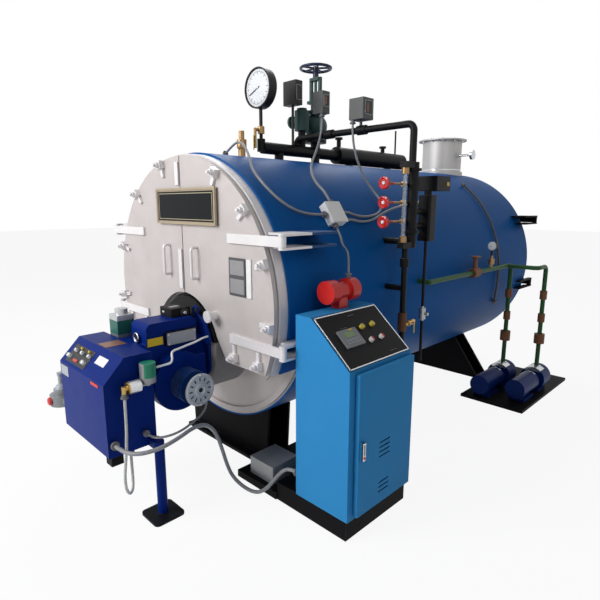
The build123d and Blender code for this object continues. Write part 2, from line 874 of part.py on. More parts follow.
# Black base deck, the cabinet's plinth and the pumps' base plate
with BuildPart() as base_deck:
    block((*pump_base_low, 0), (*pump_base_high, pump_base_height))
    block((*deck_low, 0), (*deck_high, deck_height))
    block((*plinth_low, 0), (*plinth_high, plinth_height))
keep(base_deck, "base_deck")

# Cabinet: folded sheet body with a sloped console, open on the door side
slope = math.atan2(cabinet_back_height - cabinet_front_height, cabinet_high[0] - cabinet_flat_x)


def cabinet_profile(inset):
    """Side view of the cabinet, drawn in by a sheet's thickness."""
    with BuildSketch() as side:
        with BuildLine():
            Polyline((cabinet_low[0], plinth_height), (cabinet_high[0], plinth_height),
                     (cabinet_high[0], cabinet_front_height), (cabinet_flat_x, cabinet_back_height),
                     (cabinet_low[0], cabinet_back_height), close=True)
        make_face()
        if inset:
            offset(amount=-inset, kind=Kind.INTERSECTION, mode=Mode.REPLACE)
    return side.sketch


door_x = cabinet_high[0] + cabinet_door_gap
cabinet_hinge_y = cabinet_door_high[0] + cabinet_hinge_radius + knuckle_gap
cabinet_outline = cabinet_profile(0)
cabinet_hollow = cabinet_profile(cabinet_sheet)
with BuildPart() as cabinet_body:
    with BuildSketch(front_view(cabinet_low[1])):
        add(cabinet_outline)
    extrude(amount=-(cabinet_high[1] - cabinet_low[1]))
    with BuildSketch(front_view(cabinet_low[1] + cabinet_sheet)):
        add(cabinet_hollow)
    extrude(amount=-(cabinet_high[1] - cabinet_low[1] - cabinet_sheet - cabinet_sheet),
            mode=Mode.SUBTRACT)
    block((cabinet_high[0] - overrun, cabinet_door_low[0] + cabinet_frame,
           cabinet_door_low[1] + cabinet_frame),
          (cabinet_high[0] + overrun, cabinet_door_high[0] - cabinet_frame,
           cabinet_door_high[1] - cabinet_frame), mode=Mode.SUBTRACT)
    for level in cabinet_hinge_levels:
        for low in (level - knuckle_gap - cabinet_knuckle, level + cabinet_hinge_height + knuckle_gap):
            bar((door_x + cabinet_hinge_radius, cabinet_hinge_y, low), (0, 0, 1),
                cabinet_hinge_radius, cabinet_knuckle)
            block((cabinet_high[0], cabinet_hinge_y, low),
                  (door_x + cabinet_hinge_radius, cabinet_hinge_y + cabinet_hinge_radius,
                   low + cabinet_knuckle))
keep(cabinet_body, "cabinet_body")

with BuildPart() as cabinet_mounting_plate:
    block((cabinet_low[0] + cabinet_sheet, cabinet_low[1] + equipment_inset,
           plinth_height + equipment_inset),
          (cabinet_low[0] + cabinet_sheet + equipment_plate, cabinet_high[1] - equipment_inset,
           cabinet_front_height - equipment_inset))
keep(cabinet_mounting_plate, "cabinet_mounting_plate")

# Cabinet door: shallow tray with louvres, lock plate and hinge knuckles on its rear edge
with BuildPart() as cabinet_door:
    block((door_x, cabinet_door_low[0], cabinet_door_low[1]),
          (door_x + cabinet_door_depth, cabinet_door_high[0], cabinet_door_high[1]))
    block((door_x - overrun, cabinet_door_low[0] + cabinet_door_shell,
           cabinet_door_low[1] + cabinet_door_shell),
          (door_x + cabinet_door_depth - cabinet_door_shell, cabinet_door_high[0] - cabinet_door_shell,
           cabinet_door_high[1] - cabinet_door_shell), mode=Mode.SUBTRACT)
    for band in louvre_bands:
        slots = round((band[1] - band[0]) / louvre_pitch)
        for step in range(slots):
            low = band[0] + step * louvre_pitch
            block((door_x + cabinet_door_depth - overrun, louvre_y[0], low),
                  (door_x + cabinet_door_depth + overrun, louvre_y[1], low + louvre_slot),
                  mode=Mode.SUBTRACT)
    for level in cabinet_hinge_levels:
        bar((door_x + cabinet_hinge_radius, cabinet_hinge_y, level), (0, 0, 1),
            cabinet_hinge_radius, cabinet_hinge_height)
        block((door_x + cabinet_hinge_radius, cabinet_door_high[0] - kiss, level),
              (door_x + cabinet_hinge_radius * 2, cabinet_hinge_y, level + cabinet_hinge_height))
    block((door_x + cabinet_door_depth, lock_centre[0] - lock_size[0] / 2,
           lock_centre[1] - lock_size[1] / 2),
          (door_x + cabinet_door_depth + lock_depth, lock_centre[0] + lock_size[0] / 2,
           lock_centre[1] + lock_size[1] / 2))
keep(cabinet_door, "cabinet_door")

# Console panel on the slope, with its screen and buttons
console = Plane(origin=((cabinet_flat_x + cabinet_high[0]) / 2,
                        (cabinet_low[1] + cabinet_high[1]) / 2,
                        (cabinet_back_height + cabinet_front_height) / 2),
                x_dir=(0, 1, 0), z_dir=(math.sin(slope), 0, math.cos(slope)))
console_length = math.hypot(cabinet_high[0] - cabinet_flat_x, cabinet_back_height - cabinet_front_height)
console_width = cabinet_high[1] - cabinet_low[1]
with BuildPart() as console_panel:
    with BuildSketch(console):
        Rectangle(console_width - panel_margin, console_length - panel_margin)
    extrude(amount=panel_sheet)
keep(console_panel, "console_panel")

with BuildPart() as panel_controls:
    with BuildSketch(console.offset(panel_sheet)):
        with Locations((-console_width / 5, 0)):
            RectangleRounded(screen_size[1], screen_size[0], radius=panel_sheet)
    extrude(amount=screen_depth)
    with BuildSketch(console.offset(panel_sheet)):
        with Locations((console_width / 8, 0)):
            with GridLocations(console_width / 6, console_length / 4, 2, 2):
                Circle(button_radius)
    extrude(amount=button_height)
keep(panel_controls, "panel_controls")

# Siren lying on the cabinet's top, a motor body between two bells
siren_z = cabinet_back_height + siren_rise
with BuildPart() as siren:
    bar((siren_place[0], siren_place[1] - siren_length / 2, siren_z), (0, 1, 0), siren_body, siren_length)
    for end in (-siren_length / 2, siren_length / 2 - siren_bell_length):
        bar((siren_place[0], siren_place[1] + end, siren_z), (0, 1, 0), siren_bell, siren_bell_length)
    block((siren_place[0] - siren_foot[0] / 2, siren_place[1] - siren_foot[1] / 2, cabinet_back_height),
          (siren_place[0] + siren_foot[0] / 2, siren_place[1] + siren_foot[1] / 2, siren_z))
keep(siren, "siren")

# Transformer box on the deck
with BuildPart() as transformer_box:
    block((*transformer_low, deck_height), (*transformer_high, deck_height + transformer_height))
    fillet(transformer_box.edges().filter_by(Axis.Z), radius=cabinet_sheet)
keep(transformer_box, "transformer_box")

# Junction box on the shell's side, with its lid
junction_plane = Plane(origin=on_shell(junction_y, junction_angle, kiss), x_dir=(0, 1, 0),
                       z_dir=(math.cos(math.radians(junction_angle)), 0,
                              math.sin(math.radians(junction_angle))))
with BuildPart() as junction_box:
    with BuildSketch(junction_plane):
        Rectangle(junction_size[0], junction_size[1])
    extrude(amount=junction_size[2])
    with BuildSketch(junction_plane.offset(junction_size[2])):
        RectangleRounded(junction_size[0] + junction_lid, junction_size[1] + junction_lid,
                         radius=junction_lid)
    extrude(amount=junction_lid)
    with BuildSketch(junction_plane):
        Rectangle(junction_size[0] / 3, junction_size[1] / 3)
    extrude(amount=-(kiss + junction_size[1]**2 / shell_radius / 8))
    bar((0, junction_y - junction_size[0], axis_height), (0, 1, 0), shell_radius + fine,
        junction_size[0] * 2, mode=Mode.SUBTRACT)
keep(junction_box, "junction_box")

# Steam header on the crown: a front branch, a thick drum behind it, nozzles and stubs
header_z = crown + header_lift
header_rear = shell_length - header_rear_back
valve_body_z = crown + valve_body_lift
safety_z = crown + safety_lift
gauge_z = crown + gauge_lift
gauge_cock_z = crown + gauge_cock_lift
with BuildPart() as steam_header:
    bar((0, header_front, header_z), (0, 1, 0), header_radius, header_step - header_front)
    bar((0, header_step, header_z), (0, 1, 0), header_drum, header_rear - header_step)
    for nozzle_y in header_nozzles + drum_nozzles:
        bar((0, nozzle_y, crown - cladding_sheet), (0, 0, 1), nozzle_radius, header_z - crown)
    for stub_y, stub_lift in drum_stubs:
        bar((0, stub_y, header_z), (0, 0, 1), drum_stub_radius, crown + stub_lift - header_z)
        bar((0, stub_y, crown + stub_lift - drum_stub_radius), (0, 0, 1), level_tee_radius,
            drum_stub_radius)
    bar((0, vent_rod_y, header_z), (0, 0, 1), vent_rod_radius, crown + vent_rod_lift - header_z)
    bar((0, header_front - header_radius, axis_height), (0, 1, 0), shell_radius + fine,
        header_rear, mode=Mode.SUBTRACT)
    bar((0, valve_y, header_z), (0, 0, 1), valve_neck,
        valve_body_z - valve_body_radius - valve_flange_thickness * 2 - header_z)
    bar((0, valve_y, valve_body_z - valve_body_radius - valve_flange_thickness * 2), (0, 0, 1),
        valve_flange, valve_flange_thickness)
    bar((0, gauge_y, header_z), (0, 0, 1), gauge_pipe + kiss, gauge_cock_z - gauge_cock - header_z)
    bar((0, gauge_y, header_z - gauge_tee), (0, 0, 1), gauge_tee, gauge_tee * 3)
    bar((0, safety_y, header_z), (0, 0, 1), safety_outlet, safety_z - safety_height / 2 - header_z)
keep(steam_header, "steam_header")

# Dial gauges: the large one over the header, the flue thermometer and the feed line's gauge
thermometer_z = crown + thermometer_lift
thermometer_x = flue_radius + thermometer_stem
feed_z = axis_height + feed_rise
feed_gauge_z = feed_z + feed_gauge_rise
with BuildPart() as dial_gauges:
    with BuildSketch(front_view(gauge_y + gauge_depth / 2)):
        with Locations((0, gauge_z)):
            Circle(gauge_radius)
    extrude(amount=gauge_depth)
    with BuildSketch(front_view(gauge_y - gauge_depth / 2)):
        with Locations((0, gauge_z)):
            Circle(gauge_radius - gauge_rim)
    extrude(amount=-gauge_rim, mode=Mode.SUBTRACT)
    bar((0, gauge_y, gauge_cock_z + gauge_cock), (0, 0, 1), gauge_pipe + kiss,
        gauge_z - gauge_radius / 2 - gauge_cock_z - gauge_cock)
    bar((flue_radius + fine, flue_y, thermometer_z), (1, 0, 0), gauge_pipe, thermometer_stem)
    bar((thermometer_x, flue_y, thermometer_z), (1, 0, 0), thermometer_radius, gauge_cock)
    bar((feed_x, feed_gauge_y - feed_gauge_depth / 2, feed_gauge_z), (0, 1, 0), feed_gauge_radius,
        feed_gauge_depth)
    bar((feed_x, feed_gauge_y, feed_z + feed_radius + gauge_cock * 4), (0, 0, 1), gauge_pipe,
        feed_gauge_rise - feed_radius - gauge_cock * 4)
keep(dial_gauges, "dial_gauges")

# Cocks under the gauge with its lever, on the crown, and under the feed line's gauge
with BuildPart() as line_cocks:
    bar((0, gauge_y, gauge_cock_z - gauge_cock), (0, 0, 1), gauge_cock, gauge_cock * 2)
    bar((0, gauge_y, gauge_cock_z), (0, -1, 0), gauge_pipe, gauge_cock * 2)
    block((-gauge_lever_width / 2, gauge_y - gauge_cock * 2 - gauge_pipe, gauge_cock_z - gauge_lever),
          (gauge_lever_width / 2, gauge_y - gauge_cock * 2, gauge_cock_z + gauge_pipe))
    bar((0, crown_valve_y, crown - cladding_sheet), (0, 0, 1), crown_valve_base, crown_valve_height / 2)
    bar((0, crown_valve_y, crown + crown_valve_height / 3), (0, 0, 1), crown_valve_body,
        crown_valve_height / 3)
    bar((0, crown_valve_y, crown), (0, 0, 1), crown_valve_cap, crown_valve_height)
    bar((feed_x, feed_gauge_y, feed_z), (0, 0, 1), gauge_pipe, feed_radius + gauge_cock * 4)
    bar((feed_x, feed_gauge_y, feed_z + feed_radius + gauge_cock), (0, 0, 1), gauge_cock, gauge_cock * 2)
    bar((0, 0, axis_height), (0, 1, 0), shell_radius + fine, header_front, mode=Mode.SUBTRACT)
    bar((feed_x, feed_gauge_y - feed_valve[1], feed_z), (0, 1, 0), feed_radius + fine, feed_valve[1] * 2,
        mode=Mode.SUBTRACT)

# Main steam valve: flanged globe body, bonnet and open yoke
yoke_top = valve_body_z + yoke_height
handwheel_z = yoke_top + handwheel_rise
with BuildPart() as main_steam_valve:
    with Locations((0, valve_y, valve_body_z)):
        Sphere(valve_body_radius)
    for side in (-1, 1):
        with Locations((0, valve_y, valve_body_z + side * (valve_body_radius + valve_flange_thickness / 2))):
            Cylinder(valve_flange, valve_flange_thickness)
    bar((0, valve_y, valve_body_z - valve_body_radius), (0, 0, 1), valve_neck, valve_body_radius)
    bar((0, valve_y, valve_body_z), (0, 0, 1), valve_neck, yoke_height - yoke_foot)
    for side in (-1, 1):
        block((side * yoke_half - yoke_width / 2, valve_y - yoke_width / 2, yoke_top - yoke_foot),
              (side * yoke_half + yoke_width / 2, valve_y + yoke_width / 2, yoke_top))
    block((-yoke_half, valve_y - yoke_width, yoke_top - yoke_width),
          (yoke_half, valve_y + yoke_width, yoke_top))
    block((-yoke_half - yoke_width / 2, valve_y - yoke_deck, yoke_top - yoke_foot - yoke_width),
          (yoke_half + yoke_width / 2, valve_y + yoke_deck, yoke_top - yoke_foot))
    bar((0, valve_y, yoke_top - yoke_foot), (0, 0, 1), stem_radius, yoke_foot)
keep(main_steam_valve, "main_steam_valve")

# Handwheel of the main steam valve
with BuildPart() as main_handwheel:
    with Locations((0, valve_y, handwheel_z)):
        Torus(handwheel_radius - handwheel_rim, handwheel_rim)
    bar((0, valve_y, yoke_top + knuckle_gap), (0, 0, 1), handwheel_hub, handwheel_rise + handwheel_rim)
    for spoke in range(handwheel_spokes):
        turn = math.radians((spoke + 1 / 2) * 360 / handwheel_spokes)
        bar((0, valve_y, handwheel_z), (math.cos(turn), math.sin(turn), 0), handwheel_spoke,
            handwheel_radius - handwheel_rim)
keep(main_handwheel, "main_handwheel")

# Safety valve on its own nozzle, with a side outlet and a bonnet
with BuildPart() as safety_valve:
    bar((0, safety_y, safety_z - safety_height / 2), (0, 0, 1), safety_radius, safety_height)
    bar((0, safety_y, safety_z), (-1, 0, 0), safety_outlet, safety_reach)
    bar((-safety_reach, safety_y, safety_z), (-1, 0, 0), safety_outlet + valve_flange_thickness,
        valve_flange_thickness)
    bar((0, safety_y, safety_z + safety_height / 2), (0, 0, 1), safety_bonnet, valve_flange_thickness)
keep(safety_valve, "safety_valve")

# Level pipe from the header across to the water column, with its tees
level_pipe_z = crown + level_pipe_lift
column_top = axis_height + column_high
with BuildPart() as level_pipe:
    add(pipe([(0, level_pipe_y, header_z), (0, level_pipe_y, level_pipe_z),
              (column_x, level_pipe_y, level_pipe_z), (column_x, level_pipe_y, column_top)],
             level_pipe_radius, level_pipe_radius * 2))
    for tee_x in level_tees:
        bar((tee_x - level_tee_length / 2, level_pipe_y, level_pipe_z), (1, 0, 0), level_tee_radius,
            level_tee_length)
    bar((0, level_pipe_y, header_z - header_radius), (0, 0, 1), level_pipe_radius + kiss,
        header_radius * 2, mode=Mode.SUBTRACT)
keep(level_pipe, "level_pipe")


def switch_box(place, size, foot):
    """Pressure switch box on its stem."""
    top = crown + place[2]
    with BuildPart() as box:
        block((place[0] - size[0] / 2, place[1] - size[1] / 2, top - size[2] / 2),
              (place[0] + size[0] / 2, place[1] + size[1] / 2, top + size[2] / 2))
        fillet(box.edges().filter_by(Axis.Z), radius=switch_tail)
        bar((place[0], place[1], foot), (0, 0, 1), switch_tail, top - foot)
    return box.part


with BuildPart() as pressure_switches:
    add(switch_box(low_switch, low_switch_size, header_z + header_radius))
    add(switch_box(mid_switch, mid_switch_size, level_pipe_z + level_pipe_radius))
    add(switch_box(far_switch, far_switch_size, level_pipe_z + level_tee_radius))
keep(pressure_switches, "pressure_switches")

# Water column with flanges, and its lower connection to the shell
with BuildPart() as water_column:
    bar((column_x, column_y, axis_height + column_low), (0, 0, 1), column_radius, column_high - column_low)
    for rise in column_flange_rises:
        bar((column_x, column_y, axis_height + rise), (0, 0, 1), column_flange, column_flange_thickness)
    bar((column_x, column_y, axis_height + column_arm_rise), (-1, 0, 0), column_arm, column_x)
    for rise in (column_low, column_high - glass_head_length):
        block((column_x - glass_head, column_y - glass_lead - glass_head, axis_height + rise),
              (column_x + glass_head, column_y, axis_height + rise + glass_head_length))
    bar((0, column_y - overrun, axis_height), (0, 1, 0), shell_radius + fine, overrun * 2,
        mode=Mode.SUBTRACT)
    bar((column_x, level_pipe_y, column_top), (0, 0, 1), level_pipe_radius, overrun, mode=Mode.SUBTRACT)
keep(water_column, "water_column")

# Gauge glass in front of the column, between its two heads
glass_y = column_y - glass_lead
glass_foot = axis_height + column_low + glass_head_length
glass_top = axis_height + column_high - glass_head_length
with BuildPart() as gauge_glass:
    bar((column_x, glass_y, glass_foot + glass_inset), (0, 0, 1), glass_radius,
        glass_top - glass_foot - glass_inset * 2)
keep(gauge_glass, "gauge_glass")

# Packing nuts of the glass and the try cocks with their round wheels
with BuildPart() as brass_cocks:
    for low in (glass_foot, glass_top - glass_head_length):
        with BuildSketch(Plane.XY.offset(low)):
            with Locations((column_x, glass_y)):
                Circle(glass_head - kiss)
                Circle(glass_radius + fine, mode=Mode.SUBTRACT)
        extrude(amount=glass_head_length)
    for rise in cock_rises:
        bar((cock_x, column_y, axis_height + rise), (0, -1, 0), cock_rod, cock_reach)
        bar((cock_x, column_y - cock_reach, axis_height + rise), (0, -1, 0), cock_wheel,
            cock_wheel_thickness)
        bar((cock_x, column_y - column_radius - glass_head, axis_height + rise), (0, -1, 0),
            cock_rod * 2, glass_head)
    bar((column_x, column_y, axis_height + column_low), (0, 0, 1), column_radius + fine,
        column_high - column_low, mode=Mode.SUBTRACT)
    add(line_cocks.part)
keep(brass_cocks, "brass_cocks")

# Level controller beside the column: float chamber, neck and switch head
controller_top = axis_height + controller_high
with BuildPart() as level_controller:
    block((controller_x - controller_half, controller_y - controller_half, axis_height + controller_low),
          (controller_x + controller_half, controller_y + controller_half, controller_top))
    fillet(level_controller.edges().filter_by(Axis.Z), radius=controller_half / 3)
    bar((controller_x, controller_y, controller_top), (0, 0, 1), controller_neck, controller_neck_height)
    block((controller_x - controller_box[0] / 2,
           controller_y + controller_box_shift - controller_box[1] / 2,
           controller_top + controller_neck_height),
          (controller_x + controller_box[0] / 2,
           controller_y + controller_box_shift + controller_box[1] / 2,
           controller_top + controller_neck_height + controller_box[2]))
    for level in (axis_height + controller_low + controller_arm_inset,
                  controller_top - controller_arm_inset):
        bar((column_x, column_y + column_radius + fine, level), (0, 1, 0), column_arm,
            controller_y - column_y - column_radius)
    bar((column_x, column_y, axis_height + column_low), (0, 0, 1), column_radius + fine,
        column_high - column_low, mode=Mode.SUBTRACT)
keep(level_controller, "level_controller")

# Blowdown pipe under the column with its couplings, and the controller's drain
with BuildPart() as drain_pipes:
    bar((column_x, blowdown_y, axis_height + blowdown_low), (0, 0, 1), blowdown_radius,
        column_low - blowdown_low)
    bar((column_x, blowdown_y, axis_height + blowdown_rise), (-1, 0, 0), blowdown_radius,
        column_x - shell_radius / 2)
    for rise, length in coupling_rises:
        bar((column_x, blowdown_y, axis_height + rise), (0, 0, 1), coupling_radius, length)
    bar((0, blowdown_y - overrun, axis_height), (0, 1, 0), shell_radius + fine, overrun * 2,
        mode=Mode.SUBTRACT)
    bar((controller_x, controller_y, axis_height + drain_low), (0, 0, 1), drain_radius,
        controller_low - drain_low)
    bar((controller_x, controller_y, axis_height + drain_valve_rise), (0, 0, 1), drain_valve,
        drain_valve_length)
    bar((controller_x, controller_y, axis_height + drain_valve_rise + drain_valve_length / 2),
        (1, 0, 0), drain_radius, drain_valve * 2)
keep(drain_pipes, "drain_pipes")

# Flue stub with its collar and bolted flange
flue_top = crown + flue_rise
with BuildPart() as flue_stub:
    bar((0, flue_y, axis_height), (0, 0, 1), flue_radius, flue_top - axis_height)
    bar((0, flue_y, flue_top - flue_flange_thickness), (0, 0, 1), flue_flange, flue_flange_thickness)
    bar((0, flue_y, axis_height), (0, 0, 1), flue_collar, shell_radius + flue_collar_height)
    bar((0, flue_y - shell_radius, axis_height), (0, 1, 0), shell_radius + fine, shell_radius * 2,
        mode=Mode.SUBTRACT)
    bar((0, flue_y, axis_height), (0, 0, 1), flue_radius - flue_wall, flue_top, mode=Mode.SUBTRACT)
    with Locations((0, flue_y, flue_top)):
        with PolarLocations(flue_bolt_circle, flue_bolts):
            Cylinder(flue_bolt_hole, flue_flange_thickness * 3, mode=Mode.SUBTRACT)
keep(flue_stub, "flue_stub")

# Feed line along the shell, branched down to the two pumps, with its valve and fittings
pump_xs = (feed_x, far_pump_x)
near_drop = shell_length - feed_near_back
far_drop = shell_length - feed_far_back
pump_mouth = pump_z + pump_casing
with BuildPart() as feed_pipe:
    add(pipe([(feed_x, feed_front, feed_z), (feed_x, near_drop, feed_z),
              (feed_x, near_drop, pump_mouth)], feed_radius, feed_bend))
    add(pipe([(feed_x, near_drop - feed_bend * 2, feed_z), (pump_xs[1], near_drop - feed_bend * 2, feed_z),
              (pump_xs[1], far_drop, feed_z), (pump_xs[1], far_drop, pump_mouth)],
             feed_radius, feed_bend))
    bar((shell_radius / 2, feed_front, feed_z), (1, 0, 0), feed_radius, feed_x - shell_radius / 2)
    with Locations((feed_x, feed_front, feed_z)):
        Sphere(feed_radius)
    bar((0, feed_front - overrun, axis_height), (0, 1, 0), shell_radius + fine,
        far_drop - feed_front + overrun * 2, mode=Mode.SUBTRACT)
keep(feed_pipe, "feed_pipe")

with BuildPart() as feed_fittings:
    bar((feed_x, feed_valve_y - feed_valve[1] / 2, feed_z), (0, 1, 0), feed_valve[0], feed_valve[1])
    bar((feed_x, feed_valve_y, feed_z), (0, 0, 1), feed_bonnet[0], feed_valve[0] + feed_bonnet[1])
    bar((feed_x, feed_valve_y, feed_z + feed_valve[0] + feed_bonnet[1]), (0, 0, 1), feed_valve_wheel,
        feed_valve_rim)
    for pump_x, drop_y in zip(pump_xs, (near_drop, far_drop)):
        for drop in drop_fitting_drops:
            bar((pump_x, drop_y, feed_z - drop - drop_fittings[1] / 2), (0, 0, 1), drop_fittings[0],
                drop_fittings[1])
        bar((pump_x, drop_y, feed_z - drop_bulge_drop - drop_bulge), (0, 0, 1), drop_bulge, drop_bulge * 2)
    bar((feed_x, feed_front, feed_z), (0, 1, 0), feed_radius + fine, near_drop - feed_front - feed_bend * 2,
        mode=Mode.SUBTRACT)
    for pump_x, drop_y in zip(pump_xs, (near_drop, far_drop)):
        bar((pump_x, drop_y, pump_z), (0, 0, 1), feed_radius + fine, feed_z - pump_z,
            mode=Mode.SUBTRACT)
keep(feed_fittings, "feed_fittings")

# Motor pumps on the base plate: motor, lantern and casing in line
with BuildPart() as feed_pumps:
    for pump_x, drop_y in zip(pump_xs, (near_drop, far_drop)):
        front = drop_y - pump_lead
        bar((pump_x, front, pump_z), (0, 1, 0), motor_shell, motor_length)
        bar((pump_x, front + motor_length, pump_z), (0, 1, 0), pump_lantern, lantern_length)
        bar((pump_x, front + motor_length + lantern_length, pump_z), (0, 1, 0), pump_casing,
            pump_casing_length)
        bar((pump_x, drop_y, pump_z), (0, 0, 1), feed_radius * 2, pump_casing)
        for foot_y, foot_length in ((front + overrun, motor_length - overrun * 2),
                                    (front + motor_length + lantern_length, pump_casing_length)):
            block((pump_x - pump_foot / 2, foot_y, pump_base_height),
                  (pump_x + pump_foot / 2, foot_y + foot_length, pump_base_height + pump_foot_height))
            block((pump_x - pump_foot / 4, foot_y, pump_base_height),
                  (pump_x + pump_foot / 4, foot_y + foot_length, pump_z))
keep(feed_pumps, "feed_pumps")

# Burner: air box with a sloped brow, on a foot
box_low = axis_height - burner_bottom
box_high = axis_height - burner_top
with BuildPart() as burner_box:
    with BuildSketch(Plane.YZ.offset(burner_low[0])):
        with BuildLine():
            Polyline((burner_high[1], box_low), (burner_low[1], box_low),
                     (burner_low[1], axis_height - burner_chin), (burner_brow_y, box_high),
                     (burner_high[1], box_high), close=True)
        make_face()
    extrude(amount=burner_high[0] - burner_low[0])
    fillet(burner_box.edges().filter_by(Axis.X), radius=cabinet_sheet)
    block((burner_high[0] - burner_foot_inset - burner_foot[0], burner_low[1] + burner_foot_inset,
           box_low - burner_foot[2]),
          (burner_high[0] - burner_foot_inset, burner_low[1] + burner_foot_inset + burner_foot[1], box_low))
keep(burner_box, "burner_box")

# Housing behind the box, its tower with the sight port and the fan scroll at its side
with BuildPart() as burner_housing:
    block((housing_low_x, burner_high[1], axis_height - housing_bottom),
          (housing_high_x, drum_front - burner_flange_thickness, axis_height - housing_top))
    fillet(burner_housing.edges().filter_by(Axis.Y), radius=tower_round)
    with BuildPart(mode=Mode.PRIVATE) as tower:
        block((tower_low_x, tower_front, axis_height - housing_top - tower_round),
              (tower_high_x, tower_back, axis_height - tower_top))
        fillet(tower.edges().filter_by(Axis.X).group_by(Axis.Z)[-1], radius=tower_round)
    add(tower.part)
    bar((sight_port[0], tower_front + kiss, axis_height - sight_port[1]), (0, -1, 0),
        sight_port_radius, sight_port_rim)
    scroll_z = axis_height - scroll_centre[1]
    bar((scroll_x[0], scroll_centre[0], scroll_z), (1, 0, 0), scroll_radius, scroll_x[1] - scroll_x[0])
    block((scroll_x[0], scroll_outlet[0], scroll_z),
          (scroll_x[1], scroll_outlet[1], axis_height - scroll_outlet[2]))
keep(burner_housing, "burner_housing")

with BuildPart() as burner_flange:
    with BuildSketch(front_view(drum_front)):
        with Locations((burner_axis_x, burner_z)):
            RectangleRounded(burner_flange_half[0] * 2, burner_flange_half[1] * 2,
                             radius=burner_flange_corner)
    extrude(amount=burner_flange_thickness)
keep(burner_flange, "burner_flange")

# Black insulated drum that fills the arch, and the burner head through the tube plate
with BuildPart() as burner_drum:
    bar((burner_axis_x, drum_front, burner_z), (0, 1, 0), drum_radius, -plate_rim_height - drum_front)
    bar((burner_axis_x, drum_front, burner_z), (0, 1, 0), burner_throat - kiss, -drum_front)
keep(burner_drum, "burner_drum")

# Fan motor with a ribbed shell and its terminal box
motor_z = axis_height - fan_motor_centre[1]
with BuildPart() as fan_motor:
    bar((scroll_x[1], fan_motor_centre[0], motor_z), (1, 0, 0), fan_motor_radius, motor_end - scroll_x[1])
    rib_pitch = (motor_end - scroll_x[1]) / (fan_motor_ribs + 1)
    for rib in range(fan_motor_ribs):
        with BuildSketch(Plane.YZ.offset(scroll_x[1] + (rib + 1) * rib_pitch - fan_motor_rib / 2)):
            with Locations((fan_motor_centre[0], motor_z)):
                Circle(fan_motor_radius)
                Circle(fan_motor_radius - fan_motor_rib_depth, mode=Mode.SUBTRACT)
        extrude(amount=fan_motor_rib, mode=Mode.SUBTRACT)
    terminal_z = axis_height - terminal_box_place[1]
    block((motor_end, terminal_box_place[0], terminal_z),
          (motor_end + terminal_box[0], terminal_box_place[0] + terminal_box[1], terminal_z + terminal_box[2]))
keep(fan_motor, "fan_motor")

# Damper actuator on the tower and the cover box on its side
with BuildPart() as burner_actuator:
    block((actuator_low[0], actuator_low[1], axis_height - tower_top),
          (actuator_high[0], actuator_high[1], axis_height - actuator_top))
    fillet(burner_actuator.edges().filter_by(Axis.Z), radius=conduit_radius)
    block((tower_high_x, cover_low[0], axis_height - cover_low[1]),
          (tower_high_x + cover_depth, cover_high[0], axis_height - cover_high[1]))
    block((housing_low_x, burner_high[1], axis_height - housing_bottom),
            (housing_high_x, drum_front, axis_height - housing_top), mode=Mode.SUBTRACT)
keep(burner_actuator, "burner_actuator")

# Support post under the burner's outer corner
with BuildPart() as burner_post:
    with BuildSketch():
        with Locations(post_place):
            RectangleRounded(post_plate * 2, post_plate * 2, radius=post_round)
    extrude(amount=post_plate_thickness)
    bar((*post_place, 0), (0, 0, 1), post_radius, box_low + post_arm)
    block((burner_high[0], post_place[1] - post_arm_half, box_low),
          (post_place[0], post_place[1] + post_arm_half, box_low + post_arm))
keep(burner_post, "burner_post")

# Gas line: governor at the left, shut-off valve on the box, solenoid and regulator at the right
governor_z = axis_height - gas_governor[2]
with BuildPart() as gas_train:
    bar((gas_governor[0], gas_governor[1], governor_z - governor_height / 2), (0, 0, 1), governor_radius,
        governor_height)
    bar((gas_governor[0], gas_governor[1], governor_z), (0, 0, 1), governor_cap,
        governor_height / 2 + governor_cap_height)
    bar((gas_governor[0], gas_governor[1], governor_z), (1, 0, 0), gas_pipe,
        burner_low[0] - gas_governor[0])
    block((gas_valve_low[0], gas_valve_low[1], box_high - housing_top / 4),
          (gas_valve_high[0], gas_valve_high[1], axis_height - gas_valve_top))
    bar(((gas_valve_low[0] + gas_valve_high[0]) / 2, (gas_valve_low[1] + gas_valve_high[1]) / 2,
         axis_height - gas_valve_top), (0, 0, 1), gas_valve_cap, gas_valve_cap_height)
    bar((solenoid_place[0], solenoid_place[1], axis_height - solenoid_place[2] - solenoid_height / 2),
        (0, 0, 1), solenoid_radius, solenoid_height)
    bar((regulator_place[0], regulator_place[1] - regulator_length / 2, axis_height - regulator_place[2]),
        (0, 1, 0), regulator_radius, regulator_length)
    bar((regulator_place[0], line_front, axis_height - regulator_place[2]), (0, 1, 0), line_pipe,
        solenoid_place[1] - line_front)
    bar((burner_high[0], solenoid_place[1], axis_height - regulator_place[2]), (1, 0, 0), line_pipe,
        solenoid_place[0] - burner_high[0])
    bar((solenoid_place[0], solenoid_place[1], axis_height - regulator_place[2] - line_pipe), (0, 0, 1),
        line_pipe, solenoid_height / 2)
    bar((regulator_place[0], line_front, axis_height - line_drop), (0, 0, 1), line_pipe,
        line_drop - regulator_place[2] + line_pipe)
    block((burner_low[0], burner_low[1], box_low), (burner_high[0], burner_high[1], box_high),
          mode=Mode.SUBTRACT)
    block((housing_low_x, burner_high[1], axis_height - housing_bottom),
          (housing_high_x, drum_front, axis_height - housing_top), mode=Mode.SUBTRACT)
keep(gas_train, "gas_train")

# Free conduits and hoses, and the glands that they run between
gland_ends = []


